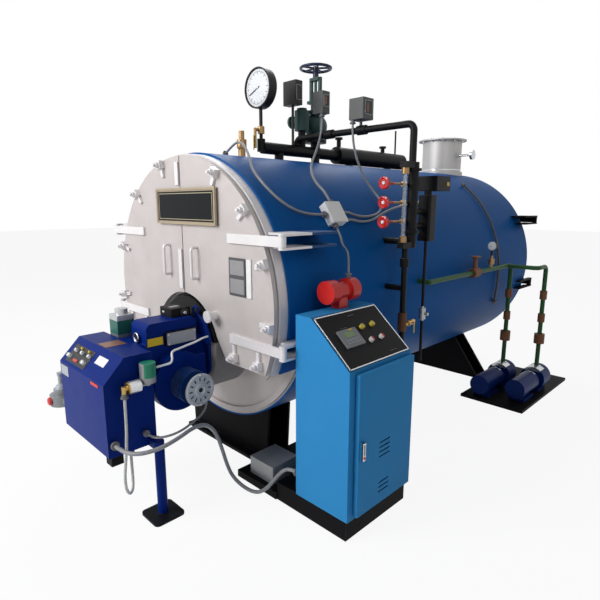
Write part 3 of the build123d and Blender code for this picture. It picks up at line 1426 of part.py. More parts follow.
def cord(route, radius, name):
    """Free conduit of straight runs and tangent arcs; its bends are printed, and its ends noted."""
    points = [Vector(*place) for place in route]
    bends = []
    for before, corner, after in zip(points, points[1:], points[2:]):
        turn = math.radians((corner - before).get_angle(after - corner))
        bends.append(bend_share * min((corner - before).length, (after - corner).length)
                     / math.tan(turn / 2))
    with BuildPart() as run:
        with BuildLine():
            path = FilletPolyline(*route, radius=bends)
        with BuildSketch(Plane(origin=path @ 0, z_dir=path % 0)):
            Circle(radius)
        sweep(path=path)
    print(name, "bends", [round(bend) for bend in bends], "length", round(path.length),
          "volume share", round(run.part.volume / (path.length * math.pi * radius**2), 4))
    keep(run, name)
    gland_ends.append((points[0], (points[0] - points[1]).normalized(), radius))
    gland_ends.append((points[-1], (points[-1] - points[-2]).normalized(), radius))


def beside_junction(across, along, out):
    """Point in the junction box's own directions: along the shell, round it and outwards."""
    place = junction_plane.from_local_coords(Vector(across, along, out))
    return (place.X, place.Y, place.Z)


def over_shell(run):
    """Cord points that lie over the cladding."""
    return [on_shell(along, degrees, conduit_stand + stand) for along, degrees, stand in run]


def away(mouth, run):
    """Cord points counted from the mouth of a gland."""
    return [(mouth[0] + x, mouth[1] + y, mouth[2] + z) for x, y, z in run]


junction_in = junction_size[2] / 2
cord(over_shell(crown_run)
     + [beside_junction(-junction_size[0] / 2 - crown_lead, 0, junction_in),
        beside_junction(-junction_size[0] / 2 - gland_length, 0, junction_in)],
     conduit_radius, "conduit_crown")
mid_mouth = (mid_switch[0] + mid_gland[0], mid_switch[1] + mid_gland[1],
             crown + mid_switch[2] - mid_switch_size[2] / 2)
cord([away(mid_mouth, [(0, 0, -gland_length)])[0]] + away(mid_mouth, valve_drop) + over_shell(valve_run)
     + [beside_junction(valve_gland, junction_size[1] / 2 + valve_lead, junction_in),
        beside_junction(valve_gland, junction_size[1] / 2 + gland_length, junction_in)],
     conduit_radius, "conduit_valve")
far_mouth = (far_switch[0] + far_gland[0], far_switch[1] + far_gland[1],
             crown + far_switch[2] - far_switch_size[2] / 2)
cord([away(far_mouth, [(0, 0, -gland_length)])[0]] + away(far_mouth, switch_drop) + over_shell(switch_run)
     + [beside_junction(junction_size[0] / 2 + switch_lead, switch_gland, junction_in),
        beside_junction(junction_size[0] / 2 + gland_length, switch_gland, junction_in)],
     conduit_radius, "conduit_switch")
level_mouth = (controller_x - controller_half, controller_y, axis_height + level_gland_rise)
cord([away(level_mouth, [(-gland_length, 0, 0)])[0]] + away(level_mouth, level_drop) + over_shell(level_run)
     + [beside_junction(junction_size[0] / 2 + level_lead, level_gland, junction_in),
        beside_junction(junction_size[0] / 2 + gland_length, level_gland, junction_in)],
     conduit_radius, "conduit_level")
siren_mouth = (siren_place[0], siren_place[1] + siren_gland, siren_z + siren_bell)
cord([beside_junction(siren_exit, -junction_size[1] / 2 - gland_length, junction_in),
      beside_junction(siren_exit, -junction_size[1] / 2 - siren_lead, junction_in)]
     + away(siren_mouth, siren_drop) + [away(siren_mouth, [(0, 0, gland_length)])[0]],
     thin_conduit, "conduit_siren")
box_mouth = (burner_high[0], 0, box_low + box_gland_rise)
cord([(burner_high[0] + gland_length, burner_gland[0], box_mouth[2] + burner_gland[1])]
     + away(box_mouth, burner_run)
     + [(burner_high[0] + x, y, deck_height + z) for x, y, z in burner_floor_run]
     + [(cabinet_low[0] - gland_length, cabinet_gland[0], deck_height + cabinet_gland[1])],
     heavy_conduit, "conduit_burner")
motor_mouth = (motor_end + terminal_box[0] / 2, terminal_box_place[0] + terminal_box[1] / 2, terminal_z)
cord([(burner_high[0] + gland_length, motor_gland, box_mouth[2])] + away(box_mouth, motor_run)
     + away(motor_mouth, motor_rise) + [away(motor_mouth, [(0, 0, -gland_length)])[0]],
     thin_conduit, "conduit_motor")
cord([on_shell(flue_y + along, degrees, conduit_stand) for along, degrees in flue_run],
     hose_radius, "flue_hose")
hose_mouth = (regulator_place[0], line_front, axis_height - line_drop)
cord([away(hose_mouth, [(0, 0, -gland_length)])[0]] + away(hose_mouth, gas_run)
     + [(hose_mouth[0] + gas_end[0], hose_mouth[1] + gas_end[1], box_low - gland_length)],
     conduit_radius, "gas_hose")

with BuildPart() as conduit_glands:
    for place, outward, radius in gland_ends:
        bar(place, outward, gland_radius + radius - conduit_radius, gland_length - fine)
        bar(place, outward, gland_nut + radius - conduit_radius, gland_nut_length)
    bar((0, -smokebox_depth, axis_height), (0, 1, 0), shell_radius + fine, shell_length, mode=Mode.SUBTRACT)
keep(conduit_glands, "conduit_glands")
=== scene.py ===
import math

import bmesh
import bpy
from mathutils import Matrix, Vector


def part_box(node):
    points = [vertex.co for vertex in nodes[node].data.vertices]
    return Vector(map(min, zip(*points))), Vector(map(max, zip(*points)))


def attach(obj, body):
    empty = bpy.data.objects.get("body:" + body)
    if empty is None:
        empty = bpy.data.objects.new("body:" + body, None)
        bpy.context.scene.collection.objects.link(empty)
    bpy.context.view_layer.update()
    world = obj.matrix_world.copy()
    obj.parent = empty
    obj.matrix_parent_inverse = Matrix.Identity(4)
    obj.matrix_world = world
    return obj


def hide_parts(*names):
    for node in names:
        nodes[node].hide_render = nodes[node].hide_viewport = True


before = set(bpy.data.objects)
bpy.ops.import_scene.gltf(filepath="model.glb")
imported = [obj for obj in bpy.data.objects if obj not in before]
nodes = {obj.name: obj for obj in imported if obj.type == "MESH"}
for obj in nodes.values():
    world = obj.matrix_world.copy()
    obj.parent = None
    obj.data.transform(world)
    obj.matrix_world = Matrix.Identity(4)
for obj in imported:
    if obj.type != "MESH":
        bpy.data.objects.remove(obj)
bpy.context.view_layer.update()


# Camera: at the eye height of someone who stands off the corner between burner and cabinet,
# with a normal lens and no shift.
eye = Vector((2.446, -1.734, 1.543))
right = Vector((0.7077, 0.7065, 0.0))
ahead = Vector((-0.6930, 0.6942, -0.1944)).normalized()
up = right.cross(ahead).normalized()
camera = bpy.data.objects.new("camera", bpy.data.cameras.new("camera"))
bpy.context.scene.collection.objects.link(camera)
camera.data.lens = 28.95
camera.data.sensor_width = 36.0
facing = Matrix((right.normalized(), up, -ahead)).transposed().to_4x4()
camera.matrix_world = Matrix.Translation(eye) @ facing
bpy.context.scene.camera = camera

# Cords: grey corrugated PVC conduit from the junction box and the burner to the switches, motor
# and cabinet, with a white gas sensing hose and a black impulse hose. All are pushed into glands
# at both ends, so each lies in loose bends and sags between them.


class Wire:
    """A shader value that can be added, multiplied and compared like a number."""

    def __init__(self, graph, socket):
        self.graph, self.socket = graph, socket

    def maths(self, kind, first, second):
        return self.graph.node("ShaderNodeMath", {0: first, 1: second}, operation=kind)

    def __add__(self, other):
        return self.maths("ADD", self, other)

    def __radd__(self, other):
        return self.maths("ADD", other, self)

    def __sub__(self, other):
        return self.maths("SUBTRACT", self, other)

    def __rsub__(self, other):
        return self.maths("SUBTRACT", other, self)

    def __mul__(self, other):
        return self.maths("MULTIPLY", self, other)

    def __rmul__(self, other):
        return self.maths("MULTIPLY", other, self)

    def __gt__(self, other):
        return self.maths("GREATER_THAN", self, other)

    def __lt__(self, other):
        return self.maths("LESS_THAN", self, other)


class Graph:
    """The node tree of one material."""

    def __init__(self, name):
        self.material = bpy.data.materials.new(name)
        self.material.use_nodes = True
        self.tree = self.material.node_tree
        self.surface = self.tree.nodes["Principled BSDF"]

    def put(self, socket, value):
        if isinstance(value, Wire):
            self.tree.links.new(value.socket, socket)
        else:
            socket.default_value = value

    def node(self, kind, inputs, out=0, **settings):
        made = self.tree.nodes.new(kind)
        for key, value in settings.items():
            setattr(made, key, value)
        for key, value in inputs.items():
            self.put(made.inputs[key], value)
        return Wire(self, made.outputs[out])

    def blend(self, share, first, second):
        return self.node("ShaderNodeMix", {0: share, 6: first, 7: second}, 2, data_type="RGBA")

    def inside(self, axes, low, high):
        """1 in the box from low to high, and 0 outside it."""
        share = None
        for axis, least, most in zip(axes, low, high):
            for test in (axis > least, axis < most):
                share = test if share is None else share * test
        return share


def paint(name, colour, rough, metal=0.0, grain=7.0, spread=0.12, bump=0.12, coat=0.0, edge=0.003,
          wear=0.25, worn=(0.32, 0.31, 0.30), gloss=0.3, stretch=(1.0, 1.0, 1.0), areas=()):
    """Cloudy colour, fine grain in gloss and surface, eased edges with wear on them. Each area is
    a box with a colour, a roughness and a metallic value of its own."""
    g = Graph(name)
    place = g.node("ShaderNodeTexCoord", {}, "Object")
    mapped = g.node("ShaderNodeMapping", {"Vector": place, "Scale": stretch})
    cloud = g.node("ShaderNodeTexNoise", {
        "Vector": mapped, "Scale": grain, "Detail": 5.0, "Roughness": 0.6})
    fine = g.node("ShaderNodeTexNoise", {"Vector": mapped, "Scale": grain * 38, "Detail": 3.0})
    tone, dull, metallic = (*colour, 1.0), rough, metal
    if areas:
        apart = g.node("ShaderNodeSeparateXYZ", {"Vector": place})
        axes = [Wire(g, socket) for socket in apart.socket.node.outputs]
        for low, high, other, other_rough, other_metal in areas:
            share = g.inside(axes, low, high)
            tone = g.blend(share, tone, (*other, 1.0))
            dull = share * other_rough + (1.0 - share) * dull
            metallic = share * other_metal + (1.0 - share) * metallic
    tone = g.node("ShaderNodeHueSaturation", {
        "Value": cloud * (spread * 2) + (1.0 - spread), "Color": tone})
    eased = g.node("ShaderNodeBevel", {"Radius": edge}, samples=4)
    flat = g.node("ShaderNodeNewGeometry", {}, "Normal")
    sharp = 1.0 - g.node(
        "ShaderNodeVectorMath", {0: eased, 1: flat}, "Value", operation="DOT_PRODUCT")
    # Paint wears off where an edge and a high grain meet, in the cloudier half of the surface.
    chipped = (sharp * 4.0 + fine * 0.5 > 0.62) * (cloud > 0.5) * wear
    g.put(g.surface.inputs["Base Color"], g.blend(chipped, tone, (*worn, 1.0)))
    g.put(g.surface.inputs["Roughness"], dull + (cloud - 0.5) * 0.16 + (fine - 0.5) * 0.1)
    g.put(g.surface.inputs["Metallic"], metallic)
    g.surface.inputs["Specular IOR Level"].default_value = gloss
    if coat:
        g.surface.inputs["Coat Weight"].default_value = coat
        g.surface.inputs["Coat Roughness"].default_value = 0.12
    g.put(g.surface.inputs["Normal"], g.node("ShaderNodeBump", {
        "Strength": bump, "Distance": 0.0015, "Height": fine + cloud * 0.4, "Normal": eased}))
    return g.material


def routed(name, route, diameter, material, steps, sides):
    """Smooth round piece along its control points."""
    data = bpy.data.curves.new(name, "CURVE")
    data.dimensions = "3D"
    data.resolution_u = steps
    data.bevel_depth = diameter / 2
    data.bevel_resolution = sides
    spline = data.splines.new("NURBS")
    spline.points.add(len(route) - 1)
    for point, place in zip(spline.points, route):
        point.co = (*place, 1.0)
    spline.order_u = 3
    spline.use_endpoint_u = True
    data.materials.append(material)
    piece = bpy.data.objects.new(name, data)
    bpy.context.scene.collection.objects.link(piece)
    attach(piece, "boiler")
    return piece


def strand(name, route, diameter, material, **facts):
    """Cord that stands for the CAD node of that name."""
    piece = routed(name + "_cord", route, diameter, material, steps=10, sides=5)
    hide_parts(name)


def ribbed(name, colour, pitch):
    """Corrugated plastic: small close ribs and dust between them."""
    g = Graph(name)
    place = g.node("ShaderNodeTexCoord", {}, "Object")
    cloud = g.node("ShaderNodeTexNoise", {"Vector": place, "Scale": 14.0, "Detail": 4.0})
    ribs = g.node("ShaderNodeTexVoronoi", {"Vector": place, "Scale": 1 / pitch}, "Distance")
    dark, light = (tuple(c * share for c in colour) + (1.0,) for share in (0.75, 1.2))
    dust = (0.08, 0.08, 0.085, 1.0)
    tone = g.blend(cloud, dark, light)
    g.put(g.surface.inputs["Base Color"], g.blend(ribs * 0.6, tone, dust))
    g.put(g.surface.inputs["Roughness"], cloud * 0.25 + 0.35)
    g.put(g.surface.inputs["Normal"], g.node("ShaderNodeBump", {
        "Strength": 0.5, "Distance": 0.002, "Height": ribs}))
    return g.material


conduit_grey = ribbed("conduit_grey", (0.30, 0.31, 0.33), 0.006)
hose_white = ribbed("hose_white", (0.74, 0.74, 0.72), 0.004)
hose_black = ribbed("hose_black", (0.03, 0.03, 0.032), 0.004)
loose = {"stiffness": "medium", "lay": "loose"}
hanging = {"stiffness": "medium", "lay": "hanging"}
strand("conduit_crown", [
    (-0.0868, 0.15, 1.8555), (-0.0225, 0.146, 1.8897), (0.077, 0.12, 1.9106), (0.21, 0.06, 1.8722),
    (0.34, -0.01, 1.7937), (0.4335, -0.072, 1.7237), (0.5473, -0.088, 1.6379),
    (0.622, -0.05, 1.5612), (0.6601, 0.02, 1.5131), (0.675, 0.09, 1.4956),
    (0.6823, 0.1605, 1.4902), (0.6823, 0.2105, 1.4902),
], 0.014, conduit_grey, length=1.163, **loose)
strand("conduit_valve", [
    (0.243, 0.672, 2.092), (0.243, 0.672, 2.022), (0.259, 0.63, 1.932), (0.285, 0.56, 1.842),
    (0.359, 0.45, 1.7828), (0.4477, 0.36, 1.7194), (0.5312, 0.322, 1.652), (0.5995, 0.313, 1.6129),
    (0.6353, 0.313, 1.5599),
], 0.014, conduit_grey, length=0.825, **hanging)
strand("conduit_switch", [
    (0.511, 0.654, 2.018), (0.511, 0.654, 1.945), (0.517, 0.678, 1.84), (0.531, 0.732, 1.73),
    (0.559, 0.794, 1.638), (0.6149, 0.815, 1.574), (0.6576, 0.772, 1.5166), (0.6813, 0.69, 1.4827),
    (0.6891, 0.59, 1.4707), (0.6845, 0.49, 1.4779), (0.6756, 0.4255, 1.5002),
    (0.6756, 0.3715, 1.5002),
], 0.014, conduit_grey, length=0.995, **hanging)
strand("conduit_level", [
    (0.868, 0.85, 1.542), (0.8, 0.85, 1.542), (0.738, 0.838, 1.53), (0.698, 0.79, 1.508),
    (0.6911, 0.712, 1.4788), (0.7012, 0.62, 1.4513), (0.7055, 0.54, 1.4439), (0.7026, 0.48, 1.4489),
    (0.7024, 0.4245, 1.4604), (0.7024, 0.3715, 1.4604),
], 0.014, conduit_grey, length=0.624, **loose)
strand("conduit_siren", [
    (0.7293, 0.265, 1.4206), (0.7572, 0.265, 1.3791), (0.778, 0.258, 1.33), (0.826, 0.23, 1.312),
    (0.876, 0.186, 1.296), (0.905, 0.158, 1.25), (0.905, 0.158, 1.2),
], 0.012, conduit_grey, length=0.335, **hanging)
strand("conduit_burner", [
    (0.366, -0.87, 0.432), (0.446, -0.87, 0.432), (0.53, -0.835, 0.44), (0.574, -0.75, 0.456),
    (0.566, -0.65, 0.47), (0.531, -0.55, 0.476), (0.497, -0.452, 0.448), (0.475, -0.382, 0.366),
    (0.468, -0.344, 0.26), (0.468, -0.316, 0.158), (0.48, -0.29, 0.078), (0.54, -0.259, 0.024),
    (0.624, -0.242, 0.02), (0.69, -0.228, 0.066), (0.738, -0.206, 0.14), (0.77, -0.176, 0.19),
    (0.806, -0.16, 0.204), (0.848, -0.16, 0.204),
], 0.02, conduit_grey, length=1.469, **loose)
strand("conduit_motor", [
    (0.366, -0.712, 0.44), (0.42, -0.712, 0.44), (0.462, -0.684, 0.444), (0.478, -0.63, 0.447),
    (0.466, -0.56, 0.449), (0.43, -0.485, 0.452), (0.398, -0.417, 0.454), (0.393, -0.378, 0.494),
    (0.393, -0.378, 0.553),
], 0.012, conduit_grey, length=0.496, **loose)
strand("flue_hose", [
    (0.4692, 2.21, 1.7001), (0.5473, 2.21, 1.6379), (0.6446, 2.207, 1.5336), (0.7223, 2.202, 1.414),
    (0.778, 2.198, 1.2828), (0.81, 2.206, 1.1438), (0.8179, 2.212, 1.0157), (0.8079, 2.23, 0.902),
    (0.7863, 2.264, 0.8045), (0.7637, 2.3, 0.7369),
], 0.016, hose_black, length=1.098, **hanging)
strand("gas_hose", [
    (0.39, -0.822, 0.663), (0.39, -0.822, 0.575), (0.392, -0.826, 0.475), (0.396, -0.838, 0.375),
    (0.402, -0.854, 0.285), (0.398, -0.85, 0.215), (0.374, -0.822, 0.163), (0.332, -0.786, 0.161),
    (0.306, -0.772, 0.209), (0.304, -0.772, 0.271), (0.304, -0.772, 0.344),
], 0.014, hose_white, length=0.750, stiffness="limp", lay="hanging")

# Saddles and deck: welded plate and channel in black chassis paint, scuffed where boots and
# trolleys rub, on which the whole boiler is shipped.


def dress(material, *names):
    """Gives CAD nodes that material."""
    for name in names:
        nodes[name].data.materials.clear()
        nodes[name].data.materials.append(material)


chassis = paint("chassis_black", (0.004, 0.004, 0.005), 0.55, spread=0.3, bump=0.3, wear=0.3,
                gloss=0.05)
dress(chassis, "base_deck", "saddles", "rear_smokebox", "rear_door", "rear_hinge_forks")

# Shell cladding: rolled sheet steel over mineral wool, powder coated bright blue with a faint
# orange peel, in two courses and an apron round the smokebox.
shell_blue = paint("shell_blue", (0.001, 0.092, 0.330), 0.5, grain=2.2, spread=0.1, bump=0.06,
                   wear=0.1, gloss=0.07, stretch=(1.0, 0.4, 1.0))
dress(shell_blue, "shell_cladding", "rear_cladding", "smokebox_cladding")

# Smokebox, tube plate and the two front doors: plate steel in aluminium paint, rolled on by
# hand, so it is cloudy and slightly pebbled. Dogs, handles, fork plates and ring are a lighter
# silver, which is painted highlight, and the fork plates are a darker blue than the cladding
# where they run back on the casing, which is partly painted shade.
scuffed = (0.40, 0.38, 0.37)
silver = paint("aluminium_paint", (0.515, 0.472, 0.460), 0.45, metal=0.2, grain=5.0, spread=0.16,
               bump=0.3, wear=0.2, worn=scuffed)
dress(silver, "front_plate", "smokebox_casing", "door_leaf_left", "door_leaf_right")
# Lighter copy of the aluminium paint: painted highlight on the dogs, handles and fork plates.
highlit_silver = paint("highlit_silver", (0.76, 0.735, 0.745), 0.36, metal=0.25, grain=8.0, spread=0.12,
                     bump=0.3, wear=0.35, worn=scuffed, areas=[
                         # Darker blue than the cladding on the fork plates' rear part: partly
                         # painted shade.
                         ((-0.9, -0.06, 0.7), (0.9, 0.2, 1.5), (0.001, 0.050, 0.180), 0.5, 0.0)])
dress(highlit_silver, "door_fittings_left", "door_fittings_right", "hinge_forks_front")
# Lighter silver on the ring: painted highlight.
dress(paint("ring_silver_highlit", (0.68, 0.655, 0.665), 0.4, metal=0.25, grain=6.0, spread=0.14, bump=0.3,
            wear=0.3, worn=scuffed), "smokebox_ring")

# Name plate and data plate: a bare black enamel field with one thin light line in a bronze
# frame, and a bare brushed aluminium plate with a white strip beside it.
dress(paint("bronze_frame", (0.40, 0.33, 0.24), 0.4, metal=0.5, grain=20.0, gloss=0.06, areas=[
    ((-0.222, -0.3, 1.450), (0.337, -0.2, 1.614), (0.012, 0.012, 0.012), 0.4, 0.0),
    ((-0.213, -0.3, 1.459), (0.328, -0.2, 1.605), (0.45, 0.40, 0.28), 0.3, 0.7),
    ((-0.209, -0.3, 1.463), (0.324, -0.2, 1.601), (0.012, 0.013, 0.014), 0.4, 0.0)]), "name_plate")
dress(paint("plate_metal", (0.10, 0.10, 0.11), 0.35, metal=0.6, grain=24.0, areas=[
    ((0.580, -0.3, 1.0), (0.64, -0.2, 1.4), (0.78, 0.78, 0.78), 0.5, 0.0),
    ((0.450, -0.3, 1.095), (0.562, -0.2, 1.17), (0.30, 0.295, 0.30), 0.35, 0.5),
    ((0.450, -0.3, 1.19), (0.562, -0.2, 1.265), (0.30, 0.295, 0.30), 0.35, 0.5)]), "data_plate")

# Burner: aluminium castings and folded sheet in deep blue stove enamel on black feet, with an
# air drum in the door's arch, a fan motor in grey and blue and black plastic drives on top. The
# gas train is bare cast metal, with a green valve, and a solenoid screwed in by a brass nut.
black_feet = [
    ((0.25, -0.89, 0.28), (0.34, -0.80, 0.3655), (0.008, 0.008, 0.009), 0.5, 0.0),
    ((0.20, -0.85, -0.01), (0.50, -0.50, 0.016), (0.008, 0.009, 0.012), 0.5, 0.0)]
burner_blue = paint("burner_blue", (0.001, 0.017, 0.165), 0.4, grain=9.0, wear=0.3, gloss=0.06,
                    areas=black_feet)
dress(burner_blue, "burner_box", "burner_housing", "burner_post", "burner_flange")
soot_black = (0.009, 0.009, 0.010)
drive_black = paint("drum_black", soot_black, 0.45, grain=8.0, spread=0.25, bump=0.25, gloss=0.08)
dress(drive_black, "burner_actuator")
dress(paint("drum_paint", soot_black, 0.45, grain=8.0, spread=0.3, bump=0.3, gloss=0.1, areas=[
    ((-0.4, -0.3, 0.4), (0.4, 0.01, 0.79), (0.30, 0.285, 0.28), 0.5, 0.2)]), "burner_drum")
dress(paint("motor_grey", (0.40, 0.41, 0.43), 0.42, metal=0.35, grain=12.0, wear=0.35, areas=[
    ((0.1, -0.6, 0.4), (0.372, -0.3, 0.75), (0.001, 0.030, 0.150), 0.4, 0.0)]), "fan_motor")
dress(paint("gas_train_metal", (0.26, 0.27, 0.28), 0.42, metal=0.5, grain=14.0, wear=0.4, areas=[
    ((0.30, -0.73, 0.74), (0.45, -0.66, 0.83), (0.02, 0.22, 0.13), 0.35, 0.0),
    ((0.30, -0.80, 0.60), (0.45, -0.745, 0.83), (0.66, 0.67, 0.68), 0.28, 0.8),
    ((0.30, -0.86, 0.60), (0.45, -0.80, 0.83), (0.50, 0.34, 0.12), 0.3, 0.9),
    ((-0.16, -0.66, 0.85), (0.0, -0.54, 0.925), (0.02, 0.13, 0.10), 0.4, 0.0),
    ((-0.16, -0.66, 0.925), (0.0, -0.54, 1.10), (0.55, 0.56, 0.57), 0.35, 0.7)]), "gas_train")

# On the burner box: a black switch panel with knobs and lamps on the sloped brow, and bare
# stickers on the brow, front and top, all printed vinyl or anodised sheet, stuck or screwed on.


def laid(origin, out, along=(0.0, 1.0, 0.0)):
    """Place whose Z points out of a face and whose X runs along it."""
    z = Vector(out).normalized()
    x = (Vector(along) - z * z.dot(Vector(along))).normalized()
    turn = Matrix((x, z.cross(x), z)).transposed().to_4x4()
    return Matrix.Translation(Vector(origin)) @ turn


def to_front(x, y, z):
    """Place on a face that looks towards the burner end, with X to the right."""
    return laid((x, y, z), (0, -1, 0), (1, 0, 0))


def to_right(x, y, z):
    """Place on a face that looks to the cabinet side, with X running back."""
    return laid((x, y, z), (1, 0, 0))


def to_top(x, y, z):
    """Place on a level face, with X to the right."""
    return laid((x, y, z), (0, 0, 1), (1, 0, 0))


def plate(size, bevel=0.0008, centre=(0.0, 0.0, 0.0)):
    """Block with eased edges."""
    form = bmesh.new()
    bmesh.ops.create_cube(form, size=1.0)
    for vertex in form.verts:
        vertex.co = Vector(vertex.co[i] * size[i] + centre[i] for i in range(3))
    bmesh.ops.bevel(form, geom=form.edges[:], offset=bevel, segments=2, affect="EDGES")
    data = bpy.data.meshes.new("plate")
    form.to_mesh(data)
    return data


def turned(profile, steps=40):
    """Round piece from (radius, height) pairs turned about Z."""
    form = bmesh.new()
    line = [form.verts.new((radius, 0.0, height)) for radius, height in profile]
    edges = [form.edges.new(pair) for pair in zip(line, line[1:])]
    bmesh.ops.spin(form, geom=line + edges, cent=(0, 0, 0), axis=(0, 0, 1), angle=math.tau,
                   steps=steps)
    bmesh.ops.remove_doubles(form, verts=form.verts[:], dist=1e-5)
    bmesh.ops.recalc_face_normals(form, faces=form.faces[:])
    data = bpy.data.meshes.new("turned")
    form.to_mesh(data)
    return data


def assemble(name, body, *parts):
    """One piece of several meshes, each with its place and its material."""
    data, whole = bpy.data.meshes.new(name), bmesh.new()
    for part, place, material in parts:
        if material.name not in data.materials:
            data.materials.append(material)
        first = len(whole.faces)
        moved = part.copy()
        moved.transform(place)
        whole.from_mesh(moved)
        whole.faces.ensure_lookup_table()
        for face in whole.faces[first:]:
            face.material_index = data.materials.find(material.name)
            face.smooth = True
    whole.to_mesh(data)
    data.set_sharp_from_angle(angle=0.6)
    piece = bpy.data.objects.new(name, data)
    bpy.context.scene.collection.objects.link(piece)
    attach(piece, body)


def sticker(name, colour, rough, spread, **finish):
    """Printed vinyl, which doesn't wear."""
    return paint(name, colour, rough, grain=30.0, spread=spread, wear=0.0, **finish)


bright_metal = paint("bright_metal", (0.62, 0.63, 0.64), 0.22, metal=0.95, grain=30.0, spread=0.06)
black_plastic = paint("black_plastic", (0.014, 0.014, 0.015), 0.3, grain=40.0, spread=0.06,
                      wear=0.05)
label_white = sticker("label_white", (0.78, 0.80, 0.82), 0.4, 0.04, bump=0.03)
label_red = sticker("label_red", (0.60, 0.03, 0.02), 0.4, 0.05, bump=0.03)
label_grey = sticker("label_grey", (0.34, 0.36, 0.40), 0.35, 0.08, bump=0.03)
label_yellow = sticker("label_yellow", (0.70, 0.50, 0.02), 0.4, 0.06, bump=0.03)
label_brown = sticker("label_brown", (0.24, 0.11, 0.07), 0.4, 0.2, metal=0.4)
lamp_red = paint("lamp_red", (0.55, 0.01, 0.01), 0.2, grain=40.0, spread=0.05, coat=0.5, wear=0.0)
brow_out = (0.0, -0.7198, 0.6941)
brow_foot, brow_height = (-0.898, 0.730), (0.108, 0.112)


def on_brow(x, share):
    """Place on the brow: along the box, and a share of the way up the slope."""
    y, z = (foot + height * share for foot, height in zip(brow_foot, brow_height))
    return laid((x, y, z), brow_out, (1.0, 0.0, 0.0))


def knob(radius, height):
    """Turned knob with a chamfered top."""
    return turned([(0.0, height), (radius * 0.75, height), (radius * 0.9, height * 0.8),
                   (radius, height * 0.1), (radius, 0.0)], 24)


assemble(
    "burner_switch_panel", "boiler",
    (plate((0.235, 0.100, 0.003)), on_brow(-0.028, 0.43), black_plastic),
    *((knob(0.013, 0.020), on_brow(x, 0.30), bright_metal) for x in (-0.125, 0.055)),
    *((knob(0.010, 0.016), on_brow(x, 0.55), label_white) for x in (-0.095, -0.020, 0.065)),
    (plate((0.050, 0.014, 0.010)), on_brow(-0.040, 0.24), lamp_red),
    *((knob(0.007, 0.010), on_brow(x, 0.68), label_yellow) for x in (-0.055, 0.035)),
    (plate((0.105, 0.046, 0.0016)), on_brow(0.190, 0.60), label_white),
    (plate((0.086, 0.018, 0.0016)), to_front(0.245, -0.8985, 0.712), label_red),
    (plate((0.100, 0.056, 0.0016)), to_front(-0.132, -0.8985, 0.690), label_grey),
    (plate((0.100, 0.110, 0.0016)), to_top(0.082, -0.728, 0.8425), label_brown))

# On the housing: a sight port with its glass in a turned metal ring, and the grey lid of the
# cover box with its screws and a bare yellow sticker.
port = to_front(0.114, -0.6105, 0.858)
assemble(
    "sight_port", "boiler",
    (turned([(0.027, 0.0), (0.029, 0.004), (0.026, 0.007), (0.021, 0.006), (0.019, 0.001)], 32),
     port, bright_metal),
    (turned([(0.0, 0.0018), (0.020, 0.0016), (0.021, 0.0)], 32), port, black_plastic))
assemble(
    "cover_lid", "boiler",
    (plate((0.176, 0.066, 0.010), 0.004), to_right(0.222, -0.407, 0.844), label_grey),
    *((knob(0.004, 0.003), to_right(0.227, y, z), bright_metal)
      for y in (-0.485, -0.329) for z in (0.818, 0.870)),
    (plate((0.090, 0.044, 0.0016)), to_right(0.2075, -0.555, 0.842), label_yellow))

# Lifting eye: a forged ring welded on a gusset plate that stands on the housing, both in the
# burner's enamel.
gusset_outline = [(0.02, 0.860), (0.02, 0.905), (0.128, 0.945), (0.168, 0.945), (0.246, 0.900),
                  (0.292, 0.800), (0.255, 0.780)]
gusset_faces_y = (-0.274, -0.2605)
form = bmesh.new()
front, back = ([form.verts.new((x, y, z)) for x, z in gusset_outline] for y in gusset_faces_y)
form.faces.new(front)
form.faces.new(back[::-1])
for a in range(len(gusset_outline)):
    form.faces.new((front[a - 1], back[a - 1], back[a], front[a]))
bmesh.ops.recalc_face_normals(form, faces=form.faces)
gusset = bpy.data.meshes.new("gusset")
form.to_mesh(gusset)
eye_radius, eye_rod = 0.021, 0.006
eye_section = [(eye_radius + eye_rod * math.cos(a * math.tau / 12),
                eye_rod * math.sin(a * math.tau / 12)) for a in range(13)]
assemble(
    "lifting_eye", "boiler",
    (turned(eye_section, 32), laid((0.150, -0.268, 0.958), (0.25, -0.97, 0), (0, 0, 1)),
     burner_blue),
    (gusset, Matrix.Identity(4), burner_blue))

# Damper dial: a moulded black disc with a bright screw on the side of the drive, and two bare
# stickers on the drive's case.
assemble(
    "damper_dial", "boiler",
    (turned([(0.026, 0.0), (0.026, 0.006), (0.020, 0.009), (0.0, 0.009)], 32),
     to_right(0.155, -0.345, 0.958), black_plastic),
    (knob(0.010, 0.006), to_right(0.164, -0.345, 0.958), bright_metal),
    (plate((0.010, 0.018, 0.001)), laid((0.070, -0.4245, 0.962), (0, -1, 0), (0, 0, 1)),
     label_white),
    (plate((0.060, 0.034, 0.001)), laid((0.095, -0.372, 0.9865), (0, 0, 1)), label_grey))

# Governor: a red lens pressed into the front of its bowl, and a grey plastic neck screwed into
# the top.
assemble(
    "governor_lens", "boiler",
    (turned([(0.026, 0.0), (0.024, 0.010), (0.016, 0.016), (0.0, 0.018)], 32),
     to_front(-0.520, -0.869, 0.390), lamp_red),
    (turned([(0.040, 0.0), (0.030, 0.020), (0.017, 0.030), (0.017, 0.085), (0.021, 0.085),
             (0.021, 0.098), (0.0, 0.098)], 32),
     Matrix.Translation((-0.520, -0.800, 0.4555)), label_grey))

# Fan motor's cowl: pressed and slotted sheet in light grey, with a hub cap in its middle, held
# on the motor's end by four screws.


